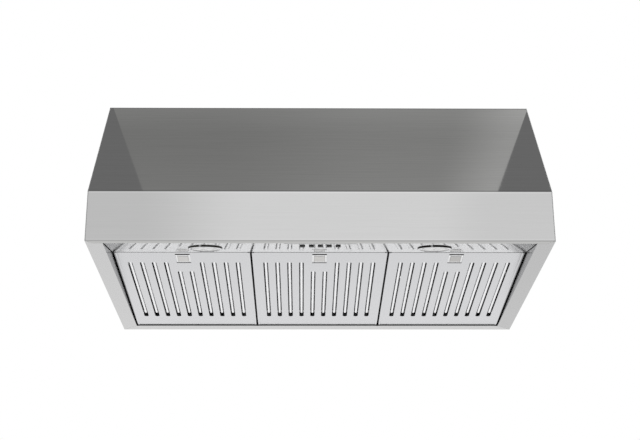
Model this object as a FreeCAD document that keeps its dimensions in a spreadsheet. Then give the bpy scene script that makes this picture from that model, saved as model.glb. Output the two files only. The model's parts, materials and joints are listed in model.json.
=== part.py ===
"""Wall mount range hood with baffle filters, in millimetres.

The origin is on the wall plane at the middle of the hood's bottom edge. +Z is up, +X is to the
right for someone facing the hood, and the front faces -Y.
"""

import FreeCAD, Part
import itertools
import math
import os

import Sketcher

doc = FreeCAD.newDocument("wall_mount_range_hood")
sheet = doc.addObject("Spreadsheet::Sheet", "Sizes")
sheet_row = itertools.count(1)
nodes = []

X_AXIS = FreeCAD.Vector(1, 0, 0)
Z_AXIS = FreeCAD.Vector(0, 0, 1)


class Size:
    """A length, angle or ratio that carries its formula in the sheet's names and its present value."""

    def __init__(self, formula, value):
        self.formula = formula
        self.value = value

    def __add__(self, other):
        other = as_size(other)
        return Size(f"({self.formula} + {other.formula})", self.value + other.value)

    def __sub__(self, other):
        other = as_size(other)
        return Size(f"({self.formula} - {other.formula})", self.value - other.value)

    def __mul__(self, other):
        other = as_size(other)
        return Size(f"({self.formula} * {other.formula})", self.value * other.value)

    def __truediv__(self, other):
        other = as_size(other)
        return Size(f"({self.formula} / {other.formula})", self.value / other.value)

    def __radd__(self, other):
        return as_size(other) + self

    def __rsub__(self, other):
        return as_size(other) - self

    def __rmul__(self, other):
        return as_size(other) * self

    def __neg__(self):
        return Size(f"(-{self.formula})", -self.value)


def as_size(amount):
    """The amount as a Size, where a plain number is its own formula."""
    return amount if isinstance(amount, Size) else Size(repr(amount), amount)


def root(amount):
    return Size(f"sqrt({amount.formula})", math.sqrt(amount.value))


def sine(angle):
    return Size(f"sin({angle.formula})", math.sin(math.radians(angle.value)))


def cosine(angle):
    return Size(f"cos({angle.formula})", math.cos(math.radians(angle.value)))


def angle_of(rise, run):
    """The angle of a slope in degrees."""
    value = math.degrees(math.atan(rise.value / run.value))
    return Size(f"(atan({rise.formula} / {run.formula}) / 1 deg)", value)


def driving(alias, value, note):
    """Writes a driving dimension into the sheet and returns it."""
    row = next(sheet_row)
    sheet.set(f"A{row}", note)
    sheet.set(f"B{row}", str(value))
    sheet.setAlias(f"B{row}", alias)
    return Size(f"Sizes.{alias}", value)


# Shell sizes
hood_width = driving("hood_width", 914.4, "overall width")
hood_depth = driving("hood_depth", 610.0, "wall to front band")
hood_height = driving("hood_height", 388.0, "bottom edge to top sheet")
band_height = driving("band_height", 104.0, "upright front band")
top_depth = driving("top_depth", 400.0, "wall to the slope's top edge")
steel = driving("steel", 1.2, "shell sheet thickness")
bend = driving("bend", 2.6, "outside radius of the folds that show")
seam = driving("seam", 0.3, "gap between neighbouring sheets")
lip_depth = driving("lip_depth", 14.0, "front lip under the band")
side_flange = driving("side_flange", 33.0, "inturned flange under each side")
back_flange = driving("back_flange", 30.0, "inturned flange under the back")
top_return = driving("top_return", 22.0, "folds that lie on the top sheet")

# Wall fixing, duct and cable sizes
wall_hole_radius = driving("wall_hole_radius", 4.0, "wall screw hole")
wall_hole_spacing = driving("wall_hole_spacing", 406.4, "wall screw holes, side to side")
wall_hole_rise = driving("wall_hole_rise", 180.0, "wall screw holes, lower to upper")
wall_hole_low = driving("wall_hole_low", 130.0, "height of the lower wall screw holes")
collar_radius = driving("collar_radius", 75.0, "outside of the duct collar")
collar_wall = driving("collar_wall", 1.2, "duct collar sheet")
collar_height = driving("collar_height", 42.0, "duct collar above the top sheet")
collar_flange = driving("collar_flange", 22.0, "collar foot beyond the tube")
duct_back = driving("duct_back", 200.0, "duct axis from the wall")
cable_hole = driving("cable_hole", 11.1, "radius of the cable hole in the top")
cable_bore = driving("cable_bore", 8.0, "radius through the cable bush")
cable_x = driving("cable_x", 310.0, "cable hole from the middle")
cable_back = driving("cable_back", 95.0, "cable hole from the wall")

# Control strip, lights and buttons
strip_length = driving("strip_length", 131.0, "control strip, lip to filters")
strip_tilt = driving("strip_tilt", 11.6, "rise of the control strip in degrees")
strip_upstand = driving("strip_upstand", 24.0, "upright fold behind the strip")
strip_end_gap = driving("strip_end_gap", 1.6, "strip end to side liner")
liner_height = driving("liner_height", 58.0, "side liner above the bottom")
liner_foot = driving("liner_foot", 18.0, "side liner foot on the flange")
light_spacing = driving("light_spacing", 460.0, "light centre to light centre")
light_along = driving("light_along", 74.0, "light centre along the strip")
ring_wall = driving("ring_wall", 1.6, "wall of the light ring's neck")
ring_flange = driving("ring_flange", 4.3, "light ring beyond its hole")
ring_proud = driving("ring_proud", 3.0, "light ring below the strip")
ring_round = driving("ring_round", 1.4, "rounding of the light ring's edge")
ring_neck = driving("ring_neck", 6.0, "light ring neck above the strip face")
lens_radius = driving("lens_radius", 28.0, "light lens")
lens_bulge = driving("lens_bulge", 0.8, "crown of the light lens")
lens_set = driving("lens_set", 1.9, "lens edge below the strip face")
lens_top = driving("lens_top", 0.4, "back of the lens above the strip face")
lamp_overhang = driving("lamp_overhang", 2.8, "lamp body beyond the light hole")
lamp_fin = driving("lamp_fin", 4.0, "height of each cooling fin and each gap")
lamp_fin_depth = driving("lamp_fin_depth", 5.0, "depth of the gaps between fins")
bezel_width = driving("bezel_width", 143.0, "plate round the buttons")
bezel_front = driving("bezel_front", 6.0, "lip to button plate")
bezel_length = driving("bezel_length", 60.0, "button plate along the strip")
bezel_thick = driving("bezel_thick", 1.6, "button plate thickness")
bezel_corner = driving("bezel_corner", 4.0, "button plate corners")
button_pitch = driving("button_pitch", 17.6, "button to button")
button_along = driving("button_along", 31.0, "button centre along the strip")
button_size = driving("button_size", 9.7, "button cap side")
button_corner = driving("button_corner", 1.0, "button cap corners")
button_proud = driving("button_proud", 2.4, "button cap below its plate")
button_gap = driving("button_gap", 0.35, "round each button cap")
button_foot = driving("button_foot", 1.3, "button foot, thickness and overhang")
button_travel = driving("button_travel", 2.0, "press of a button")
switch_width = driving("switch_width", 116.0, "switch body")
switch_depth = driving("switch_depth", 40.0, "switch body along the strip")
switch_height = driving("switch_height", 24.0, "switch body above the strip")
switch_wall = driving("switch_wall", 5.0, "switch body round the button space")

# Filters
filter_sheet = driving("filter_sheet", 0.8, "filter sheet thickness")
filter_rim = driving("filter_rim", 14.0, "filter rim height")
filter_gap = driving("filter_gap", 4.0, "filter to filter")
filter_side_gap = driving("filter_side_gap", 2.8, "filter to side liner")
filter_front_gap = driving("filter_front_gap", 1.6, "filter to control strip")
filter_front_lip = driving("filter_front_lip", 6.0, "filter face in front of its rim")
filter_overlap = driving("filter_overlap", 12.0, "filter tail on the back flange")
filter_lift = driving("filter_lift", 1.2, "filter face above the back flange's edge")
slot_margin = driving("slot_margin", 26.8, "filter side to the middle of its first slot")
slot_width = driving("slot_width", 9.9, "filter slot width")
slot_start = driving("slot_start", 52.0, "front edge to the long slots")
slot_short_gap = driving("slot_short_gap", 22.0, "latch guide to the short slots")
slot_tail = driving("slot_tail", 59.0, "slots' far ends to the swing line")
ridge_radius = driving("ridge_radius", 3.9, "half round ridge behind a slot")
ridge_clear = driving("ridge_clear", 0.4, "ridge behind the filter face")
ridge_stop = driving("ridge_stop", 20.0, "ridge end before the slot end")
ridge_bar = driving("ridge_bar", 6.0, "cross bar along the filter")
ridge_foot = driving("ridge_foot", 8.0, "cross bar foot along its length")

# Filter latch
latch_window = driving("latch_window", 30.0, "latch window width")
latch_window_front = driving("latch_window_front", 7.6, "front edge to the latch window")
latch_end_gap = driving("latch_end_gap", 1.6, "finger pad to window when pulled back")
latch_finger_gap = driving("latch_finger_gap", 8.4, "open end of the latch window")
latch_plate = driving("latch_plate", 1.2, "latch slide thickness")
latch_overlap = driving("latch_overlap", 4.0, "latch slide beyond its window")
latch_gap = driving("latch_gap", 0.3, "clearance round the latch slide")
latch_pad = driving("latch_pad", 22.0, "finger pad width")
latch_pad_start = driving("latch_pad_start", 22.0, "front edge to the finger pad")
latch_pad_length = driving("latch_pad_length", 27.0, "finger pad along the filter")
latch_pad_set = driving("latch_pad_set", 0.3, "finger pad above the filter's lower face")
latch_travel = driving("latch_travel", 6.0, "latch slide travel")
bolt_width = driving("bolt_width", 16.0, "latch bolt width")
bolt_low = driving("bolt_low", 4.7, "latch bolt above the filter's lower face")
bolt_thick = driving("bolt_thick", 3.0, "latch bolt thickness")
bolt_tip = driving("bolt_tip", 2.5, "front edge to the latch bolt's tip")
bolt_root = driving("bolt_root", 30.0, "front edge to the latch bolt's root")
bolt_riser = driving("bolt_riser", 6.0, "latch bolt root along the filter")
post_back_gap = driving("post_back_gap", 0.6, "spring post to the end of the slide")
post_thick = driving("post_thick", 2.0, "spring post thickness")
post_width = driving("post_width", 10.0, "spring post width")
post_top = driving("post_top", 9.0, "spring post above the filter's lower face")
guide_clear = driving("guide_clear", 2.0, "latch guide to the bolt's root when pulled back")
guide_post_gap = driving("guide_post_gap", 4.0, "strap of the latch guide to the spring post")
spring_room = driving("spring_room", 20.0, "spring post to the guide's far end")
spring_radius = driving("spring_radius", 2.4, "latch spring, middle of the wire")
spring_wire = driving("spring_wire", 0.4, "radius of the latch spring's wire")
spring_height = driving("spring_height", 6.0, "latch spring above the filter's lower face")
spring_turns = driving("spring_turns", 5.0, "turns of the latch spring")
catch_thick = driving("catch_thick", 0.8, "spring catch strip")
catch_gap = driving("catch_gap", 0.9, "catch hook below the latch bolt")
catch_reach = driving("catch_reach", 5.5, "catch hook behind the strip")
catch_leg = driving("catch_leg", 15.0, "catch leg on the strip's upstand")

# Damper
damper_height = driving("damper_height", 16.0, "damper rod above the top sheet")
damper_rod_radius = driving("damper_rod_radius", 2.5, "damper rod")
damper_barrel = driving("damper_barrel", 4.0, "outside of the flap's barrels")
damper_running = driving("damper_running", 0.05, "clearance of the barrels on the rod")
damper_edge = driving("damper_edge", 1.4, "flap edge to the collar")
damper_sheet = driving("damper_sheet", 0.8, "flap sheet")
damper_web = driving("damper_web", 5.0, "flap edge beside the rod")
damper_end_gap = driving("damper_end_gap", 5.8, "barrels to the collar wall")
damper_barrel_gap = driving("damper_barrel_gap", 2.0, "barrel to barrel")

# Blower
scroll_start = driving("scroll_start", 100.0, "first radius of the scroll")
outlet_margin = driving("outlet_margin", 10.0, "scroll outlet deeper than the collar")
outlet_side = driving("outlet_side", 50.0, "scroll outlet wider than the collar")
scroll_drop = driving("scroll_drop", 155.6, "scroll's first centre below the top sheet")
inlet_overlap = driving("inlet_overlap", 10.0, "scroll inlet inside the wheel")
scroll_foot = driving("scroll_foot", 16.0, "feet under the top sheet")
wheel_gap = driving("wheel_gap", 14.0, "wheel inside the scroll's first radius")
wheel_blade = driving("wheel_blade", 13.0, "blade, inner to outer edge")
wheel_lean = driving("wheel_lean", 6.0, "lean of each blade")
wheel_sheet = driving("wheel_sheet", 1.4, "blade and disc thickness")
wheel_side_gap = driving("wheel_side_gap", 20.0, "wheel to each side of the scroll")
wheel_hub = driving("wheel_hub", 15.0, "hub radius")
wheel_hub_length = driving("wheel_hub_length", 34.0, "hub length")
WHEEL_BLADES = 30
shaft_radius = driving("shaft_radius", 6.0, "motor shaft")
shaft_running = driving("shaft_running", 0.05, "clearance of the shaft in the motor")
motor_stand = driving("motor_stand", 32.0, "motor plate from the scroll")
motor_radius = driving("motor_radius", 52.0, "motor can")
motor_length = driving("motor_length", 78.0, "motor can length")
motor_cap = driving("motor_cap", 12.0, "motor end cap")
motor_cap_radius = driving("motor_cap_radius", 38.0, "motor end cap radius")
motor_plate = driving("motor_plate", 2.5, "motor plate thickness")
motor_plate_edge = driving("motor_plate_edge", 2.0, "motor plate beyond its legs")
motor_leg = driving("motor_leg", 5.0, "radius of the motor plate's legs")
motor_leg_gap = driving("motor_leg_gap", 4.0, "motor plate's legs to the inlet")
motor_boss = driving("motor_boss", 16.0, "motor boss in its plate")
motor_shaft_depth = driving("motor_shaft_depth", 30.0, "shaft inside the motor")

# Electrics
junction_length = driving("junction_length", 110.0, "junction box, side to side")
junction_depth = driving("junction_depth", 90.0, "junction box, front to back")
junction_height = driving("junction_height", 52.0, "junction box height")
bush_flange = driving("bush_flange", 4.0, "cable bush flange beyond its hole")
bush_rim = driving("bush_rim", 3.0, "cable bush flange thickness")
terminal_length = driving("terminal_length", 46.0, "terminal block")
terminal_depth = driving("terminal_depth", 18.0, "terminal block, front to back")
terminal_height = driving("terminal_height", 16.0, "terminal block height")
terminal_pole = driving("terminal_pole", 12.0, "terminal to terminal")
terminal_screw = driving("terminal_screw", 2.6, "terminal screw hole radius")
capacitor_radius = driving("capacitor_radius", 18.0, "motor capacitor")
capacitor_length = driving("capacitor_length", 62.0, "motor capacitor length")
driver_length = driving("driver_length", 120.0, "lamp driver")
driver_depth = driving("driver_depth", 46.0, "lamp driver, front to back")
driver_height = driving("driver_height", 26.0, "lamp driver height")
driver_corner = driving("driver_corner", 3.0, "lamp driver corners")
driver_x = driving("driver_x", 310.0, "lamp driver from the middle")

# Screws
screw_radius = driving("screw_radius", 2.0, "screw shank")
screw_clear = driving("screw_clear", 0.2, "screw hole beyond the shank")
screw_head = driving("screw_head", 4.0, "screw head radius")
screw_head_height = driving("screw_head_height", 2.4, "screw head height")
screw_length = driving("screw_length", 8.0, "screw shank length")
top_screw_inset = driving("top_screw_inset", 45.7, "end screw to the side of the top")
cover_screw_inset = driving("cover_screw_inset", 8.0, "cover screw from the cover's end")
TOP_SCREWS = 5
COLLAR_SCREWS = 6
SLOTS = 10

# Places worked out from the sizes
half = hood_width / 2
front = -hood_depth
inside = half - steel - seam
top_under = hood_height - 2 * steel
top_face = hood_height - steel
slope_run = hood_depth - top_depth
slope_rise = hood_height - band_height
slant = root(slope_run * slope_run + slope_rise * slope_rise)
band_fold = (slant - slope_rise) / slope_run
top_fold = (slant - slope_run) / slope_rise
liner_face = half - side_flange
strip_half = liner_face - strip_end_gap
strip_y = front + lip_depth
strip_back_y = strip_y + strip_length * cosine(strip_tilt)
strip_back_z = steel + strip_length * sine(strip_tilt)
filter_width = (2 * liner_face - 2 * filter_side_gap - 2 * filter_gap) / 3
filter_y = -back_flange
filter_z = steel + filter_lift
filter_run = filter_y - strip_back_y
filter_rise = strip_back_z - filter_z
filter_span = root(filter_run * filter_run + filter_rise * filter_rise)
filter_tilt = angle_of(filter_rise, filter_run)
filter_reach = filter_span - filter_front_gap
slot_pitch = (filter_width - 2 * slot_margin) / (SLOTS - 1)
slot_end = filter_reach - slot_tail
latch_window_length = latch_pad_start + latch_pad_length + latch_travel + latch_end_gap - latch_window_front
latch_plate_end = latch_window_front + latch_window_length + latch_overlap
post_place = latch_plate_end - post_thick - post_back_gap
guide_front = bolt_root + latch_travel + guide_clear
guide_strap = post_place - guide_post_gap - guide_front
guide_back = post_place + post_thick + spring_room
slot_short_start = guide_back + slot_short_gap
catch_low = bolt_low - catch_thick - catch_gap
light_hole = lens_radius + seam + ring_wall + seam
ring_radius = light_hole + ring_flange
lamp_radius = light_hole + lamp_overhang
duct_y = -duct_back
damper_radius = collar_radius - collar_wall - damper_edge
damper_barrel_length = (collar_radius - collar_wall - damper_end_gap) / 2 - damper_barrel_gap
scroll_step = (2 * collar_radius + outlet_margin - scroll_start) / 3
scroll_width = 2 * collar_radius + outlet_side
scroll_height = top_under - scroll_drop
scroll_end = scroll_start + 2 * scroll_step
scroll_y = duct_y - (scroll_step + scroll_end) / 2
wheel_radius = scroll_start - wheel_gap
wheel_width = scroll_width - 2 * wheel_side_gap
scroll_inlet = wheel_radius - inlet_overlap
wheel_y = scroll_y + scroll_step
wheel_z = scroll_height + scroll_step / 2
motor_leg_circle = scroll_inlet + motor_leg + motor_leg_gap
motor_plate_radius = motor_leg_circle + motor_leg + motor_plate_edge
motor_x = -scroll_width / 2 - motor_stand
junction_x = cable_x - junction_length / 2
junction_y = -cable_back - junction_depth / 2


def bind(thing, path, amount):
    """Ties a property of an object to its formula."""
    thing.setExpression(path, as_size(amount).formula)


def place(thing, x=0, y=0, z=0, tilt=None):
    """Moves an object to a point, after turning it about the X direction by tilt degrees."""
    if tilt is not None:
        thing.Placement = FreeCAD.Placement(FreeCAD.Vector(), FreeCAD.Rotation(X_AXIS, 1))
        bind(thing, "Placement.Rotation.Angle", tilt)
    for axis, amount in zip("xyz", (x, y, z)):
        bind(thing, f"Placement.Base.{axis}", amount)
    return thing


def on_strip(thing, x=0, along=0):
    """Seats an object on the control strip: y along the strip from the lip, z up from its lower face."""
    y = strip_y + along * cosine(strip_tilt)
    z = steel + along * sine(strip_tilt)
    return place(thing, x, y, z, strip_tilt)


def on_filter(thing, x):
    """Seats an object in a filter: y back from the swing line, z up from the lower face."""
    return place(thing, x, filter_y, filter_z, -filter_tilt)


def filter_point(y, z):
    """The hood's own y and z of a point given in a filter's y and z."""
    up, along = sine(filter_tilt), cosine(filter_tilt)
    return filter_y + y * along + z * up, filter_z - y * up + z * along


def node(label, thing):
    """Names an object as one finished piece of the hood."""
    thing.Label = label
    nodes.append(thing)
    return thing


def block(x, y, z):
    """A box between pairs of x, y and z limits."""
    thing = doc.addObject("Part::Box", "Block")
    for path, (low, high) in zip(("Length", "Width", "Height"), (x, y, z)):
        bind(thing, path, as_size(high) - low)
    return place(thing, x[0], y[0], z[0])


def rod(radius, length, x=0, y=0, z=0, along=Z_AXIS):
    """A cylinder from a start point along one axis."""
    thing = doc.addObject("Part::Cylinder", "Rod")
    bind(thing, "Radius", radius)
    bind(thing, "Height", length)
    thing.Placement = FreeCAD.Placement(FreeCAD.Vector(), FreeCAD.Rotation(Z_AXIS, along))
    return place(thing, x, y, z)


def joined(things):
    """One solid from several that meet."""
    thing = doc.addObject("Part::MultiFuse", "Joined")
    thing.Shapes = things
    return thing


def cut(base, *tools):
    """The base without the tools."""
    thing = doc.addObject("Part::Cut", "Cut")
    thing.Base = base
    thing.Tool = tools[0] if len(tools) == 1 else joined(list(tools))
    return thing


def group(things):
    """Several like solids kept apart in one piece."""
    thing = doc.addObject("Part::Compound", "Group")
    thing.Links = things
    return thing


def new_body(name):
    return doc.addObject("PartDesign::Body", name)


def centred(x, y, width, length, corner=None):
    """A rectangle's corners about a middle point, with quarter round corners if a corner radius is given."""
    left, right = x - width / 2, x + width / 2
    low, high = y - length / 2, y + length / 2
    if corner is None:
        return [(left, low), (right, low), (right, high), (left, high)]
    return [
        (left + corner, low),
        (right - corner, low, (right - corner, low + corner)),
        (right, low + corner),
        (right, high - corner, (right - corner, high - corner)),
        (right - corner, high),
        (left + corner, high, (left + corner, high - corner)),
        (left, high - corner),
        (left, low + corner, (left + corner, low + corner)),
    ]


def rectangle(x, y):
    """A rectangle between pairs of x and y limits."""
    return [(x[0], y[0]), (x[1], y[0]), (x[1], y[1]), (x[0], y[1])]


def slot(x, start, end, width):
    """A slot along y with half round ends."""
    radius = width / 2
    return [
        (x + radius, start + radius),
        (x + radius, end - radius, (x, end - radius)),
        (x - radius, end - radius),
        (x - radius, start + radius, (x, start + radius)),
    ]


def half_ring(x, z, outer, inner):
    """A half round channel, open above, about a centre."""
    return [
        (x - outer, z, (x, z)),
        (x + outer, z),
        (x + inner, z, (x, z), "clockwise"),
        (x - inner, z),
    ]


def circle(x, y, radius):
    return ("circle", x, y, radius)


def fix_point(sketch, geometry, position, x, y):
    """Holds one point of a sketch at its x and y formulas. None leaves that direction free."""
    for kind, amount in (("DistanceX", x), ("DistanceY", y)):
        if amount is not None:
            amount = as_size(amount)
            held = Sketcher.Constraint(kind, -1, 1, geometry, position, amount.value)
            sketch.setExpression(f"Constraints[{sketch.addConstraint(held)}]", amount.formula)


def value_point(x, y):
    return FreeCAD.Vector(as_size(x).value, as_size(y).value, 0)


def draw_circle(sketch, x, y, radius):
    radius = as_size(radius)
    geometry = sketch.addGeometry(Part.Circle(value_point(x, y), Z_AXIS, radius.value))
    fix_point(sketch, geometry, 3, x, y)
    held = Sketcher.Constraint("Radius", geometry, radius.value)
    sketch.setExpression(f"Constraints[{sketch.addConstraint(held)}]", radius.formula)


def draw_outline(sketch, corners):
    """Draws a closed outline. A corner with a centre starts an arc, anticlockwise if it doesn't say."""
    ends = []
    for corner, following in zip(corners, corners[1:] + corners[:1]):
        start, end = value_point(*corner[:2]), value_point(*following[:2])
        if len(corner) == 2:
            geometry = sketch.addGeometry(Part.LineSegment(start, end))
            ends.append((geometry, 1, 2))
            continue
        middle = value_point(*corner[2])
        first, last = (start, end) if len(corner) == 3 else (end, start)
        angles = [math.atan2(p.y - middle.y, p.x - middle.x) for p in (first, last)]
        ring = Part.Circle(middle, Z_AXIS, start.distanceToPoint(middle))
        geometry = sketch.addGeometry(Part.ArcOfCircle(ring, *angles))
        ends.append((geometry, 1, 2) if len(corner) == 3 else (geometry, 2, 1))
        chord = end - start
        flat = abs(chord.x) >= abs(chord.y)
        fix_point(sketch, geometry, 3, None if flat else corner[2][0], corner[2][1] if flat else None)
    for (geometry, _, stop), (following, begin, _) in zip(ends, ends[1:] + ends[:1]):
        sketch.addConstraint(Sketcher.Constraint("Coincident", geometry, stop, following, begin))
    for (geometry, begin, _), corner in zip(ends, corners):
        fix_point(sketch, geometry, begin, corner[0], corner[1])


def sketch_on(body, plane, outlines, height=0):
    """A sketch of closed outlines on one of the body's own planes, or at a height from it."""
    sketch = body.newObject("Sketcher::SketchObject", "Outline")
    support = next(feature for feature in body.Origin.OriginFeatures if feature.Role == plane)
    sketch.AttachmentSupport = [(support, "")]
    sketch.MapMode = "FlatFace"
    bind(sketch, "AttachmentOffset.Base.z", height)
    for outline in outlines:
        if outline[0] == "circle":
            draw_circle(sketch, *outline[1:])
        else:
            draw_outline(sketch, outline)
    return sketch


def pad(body, plane, outlines, length, height=0, symmetric=False):
    """Adds the sketched shape, raised from its plane or to both sides of it."""
    feature = body.newObject("PartDesign::Pad", "Pad")
    feature.Profile = sketch_on(body, plane, outlines, height)
    feature.SideType = "Symmetric" if symmetric else "One side"
    bind(feature, "Length", length)
    return feature


def pocket(body, plane, outlines, length, height=0):
    """Removes the sketched shape over a length that lies half to each side of its plane."""
    feature = body.newObject("PartDesign::Pocket", "Pocket")
    feature.Profile = sketch_on(body, plane, outlines, height)
    feature.SideType = "Symmetric"
    bind(feature, "Length", length)
    return feature


def revolved(name, outline):
    """A turned body from an outline of radius and height, about Z."""
    body = new_body(name)
    profile = sketch_on(body, "XZ_Plane", [outline])
    feature = body.newObject("PartDesign::Revolution", "Turned")
    feature.Profile = profile
    feature.ReferenceAxis = (profile, ["V_Axis"])
    feature.Angle = 360
    return body


def round_folds(body, radius, lines):
    """Rounds the edges that run along X at the given y and z places."""
    doc.recompute()
    base = body.Tip
    wanted = [(as_size(y).value, as_size(z).value) for y, z in lines]
    names = []
    for index, edge in enumerate(base.Shape.Edges, 1):
        low, high = edge.Vertexes[0].Point, edge.Vertexes[-1].Point
        along_x = abs(low.y - high.y) + abs(low.z - high.z) < 1e-6
        if along_x and any(math.hypot(low.y - y, low.z - z) < 1e-4 for y, z in wanted):
            names.append(f"Edge{index}")
    feature = body.newObject("PartDesign::Fillet", "Folds")
    feature.Base = (base, names)
    bind(feature, "Radius", radius)


def top_screw_places():
    """The x and y of the screws along the front and back folds of the top."""
    rows = (-top_depth + top_return / 2 + steel, -top_return / 2 - steel)
    steps = [2 * index / (TOP_SCREWS - 1) - 1 for index in range(TOP_SCREWS)]
    return [((inside - top_screw_inset) * step, y) for y in rows for step in steps]


def collar_screw_places():
    """The x and y of the screws round the collar's foot."""
    ring = collar_radius + collar_flange / 2
    turns = [math.radians(360 * (index + 0.5) / COLLAR_SCREWS) for index in range(COLLAR_SCREWS)]
    return [(ring * math.cos(turn), duct_y + ring * math.sin(turn)) for turn in turns]


def front_shell():
    """The folded front: lip, upright band, slope and the fold that lies on the top sheet."""
    top_edge, fold_end = -top_depth, -top_depth + top_return
    outer = [(front, 0), (front, band_height), (top_edge, hood_height)]
    inner = [
        (top_edge + steel * top_fold, top_face),
        (front + steel, band_height - steel * band_fold),
        (front + steel, steel),
    ]
    profile = (
        [(strip_y, 0)] + outer + [(fold_end, hood_height), (fold_end, top_face)] + inner + [(strip_y, steel)]
    )
    body = new_body("FrontShell")
    pad(body, "YZ_Plane", [profile], 2 * inside, symmetric=True)
    round_folds(body, bend, outer)
    round_folds(body, bend - steel, inner)
    past = lip_depth + steel
    for side in (1, -1):
        mitre = [
            (side * (half - steel), front + steel),
            (side * half, front + steel),
            (side * half, front + past),
            (side * (half - past), front + past),
        ]
        pocket(body, "XY_Plane", [mitre], 3 * steel)
    front_row = top_screw_places()[:TOP_SCREWS]
    holes = [circle(x, y, screw_radius + screw_clear) for x, y in front_row]
    pocket(body, "XY_Plane", holes, 4 * steel, hood_height)
    node("front_shell", body)


def side_panel(label, side):
    """An upright side with its inturned bottom flange, mitred at both ends."""
    body = new_body("SidePanel")
    outline = [(front, 0), (0, 0), (0, hood_height), (-top_depth, hood_height), (front, band_height)]
    pad(body, "YZ_Plane", [outline], steel, (half - steel) if side > 0 else -half)
    start = front + steel + 2 * seam
    flange = [
        (side * (half - steel / 2), start),
        (side * (half - steel), start),
        (side * (half - lip_depth), strip_y + seam),
        (side * liner_face, strip_y + seam),
        (side * liner_face, -back_flange - seam),
        (side * (half - steel), -steel - 2 * seam),
        (side * (half - steel / 2), -steel - 2 * seam),
    ]
    pad(body, "XY_Plane", [flange], steel)
    node(label, body)


def back_panel():
    """The back sheet with its bottom flange, its fold on the top sheet and the wall screw holes."""
    profile = [
        (0, 0),
        (0, hood_height),
        (-top_return, hood_height),
        (-top_return, top_face),
        (-steel, top_face),
        (-steel, steel),
        (-back_flange, steel),
        (-back_flange, 0),
    ]
    body = new_body("BackPanel")
    pad(body, "YZ_Plane", [profile], 2 * inside, symmetric=True)
    for side in (1, -1):
        mitre = [
            (side * liner_face, -back_flange),
            (side * (half - steel), -steel),
            (side * half, -steel),
            (side * half, -back_flange - steel),
            (side * liner_face, -back_flange - steel),
        ]
        pocket(body, "XY_Plane", [mitre], 3 * steel)
    wall_holes = [
        circle(side * wall_hole_spacing / 2, wall_hole_low + level * wall_hole_rise, wall_hole_radius)
        for side in (-1, 1)
        for level in (0, 1)
    ]
    pocket(body, "XZ_Plane", wall_holes, 4 * steel)
    back_row = top_screw_places()[TOP_SCREWS:]
    holes = [circle(x, y, screw_radius + screw_clear) for x, y in back_row]
    pocket(body, "XY_Plane", holes, 4 * steel, hood_height)
    node("back_panel", body)


def top_panel():
    """The top sheet, under the folds of the front and back, with the duct, cable and screw holes."""
    body = new_body("TopPanel")
    hole = screw_radius + screw_clear
    outlines = [rectangle((-inside, inside), (-top_depth + 4 * steel, -steel - seam))]
    outlines.append(circle(0, duct_y, collar_radius - collar_wall))
    outlines.append(circle(cable_x, -cable_back, cable_hole))
    outlines += [circle(x, y, hole) for x, y in top_screw_places() + collar_screw_places()]
    pad(body, "XY_Plane", outlines, steel, top_under)
    node("top_panel", body)


def screw(x, y, z):
    """A pan head screw whose head rests at height z."""
    shank = rod(screw_radius, screw_length + screw_head_height / 2, x, y, z - screw_length)
    head = rod(screw_head, screw_head_height, x, y, z)
    return joined([shank, head])


def top_screws():
    node("top_screws", group([screw(x, y, hood_height) for x, y in top_screw_places()]))
    node("collar_screws", group([screw(x, y, top_face + collar_wall) for x, y in collar_screw_places()]))


def button_places():
    return [button_pitch * (index - 2) for index in range(5)]


def control_strip():
    """The polished strip between the lip and the filters, with its light and button holes."""
    body = new_body("StripBlank")
    lean = sine(strip_tilt)
    half_fold = lean / (1 + cosine(strip_tilt))
    strip_front = front + bend + steel
    profile = [
        (strip_front, steel),
        (strip_y, steel),
        (strip_back_y, strip_back_z),
        (strip_back_y, strip_back_z + strip_upstand),
        (strip_back_y - steel, strip_back_z + strip_upstand),
        (strip_back_y - steel, strip_back_z + steel * cosine(strip_tilt) / (1 + lean)),
        (strip_y - steel * half_fold, 2 * steel),
        (strip_front, 2 * steel),
    ]
    pad(body, "YZ_Plane", [profile], 2 * strip_half, symmetric=True)
    depth = (-2 * steel, 3 * steel)
    reach = button_size / 2 + button_gap
    light_x = (-light_spacing / 2, light_spacing / 2)
    tools = [rod(light_hole, 5 * steel, x, light_along, -2 * steel) for x in light_x]
    for x in button_places():
        tools.append(block((x - reach, x + reach), (button_along - reach, button_along + reach), depth))
    node("control_strip", cut(body, on_strip(joined(tools))))


def side_liner(label, side):
    """An upright angle that closes the side of the filter bay and stands on the side flange."""
    length = (strip_y + seam, -back_flange - seam)
    wall_x = (liner_face, liner_face + steel)
    foot_x = (liner_face, liner_face + liner_foot)
    if side < 0:
        wall_x, foot_x = [(-pair[1], -pair[0]) for pair in (wall_x, foot_x)]
    wall = block(wall_x, length, (steel, liner_height))
    foot = block(foot_x, length, (steel, 2 * steel))
    node(label, joined([wall, foot]))


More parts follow.
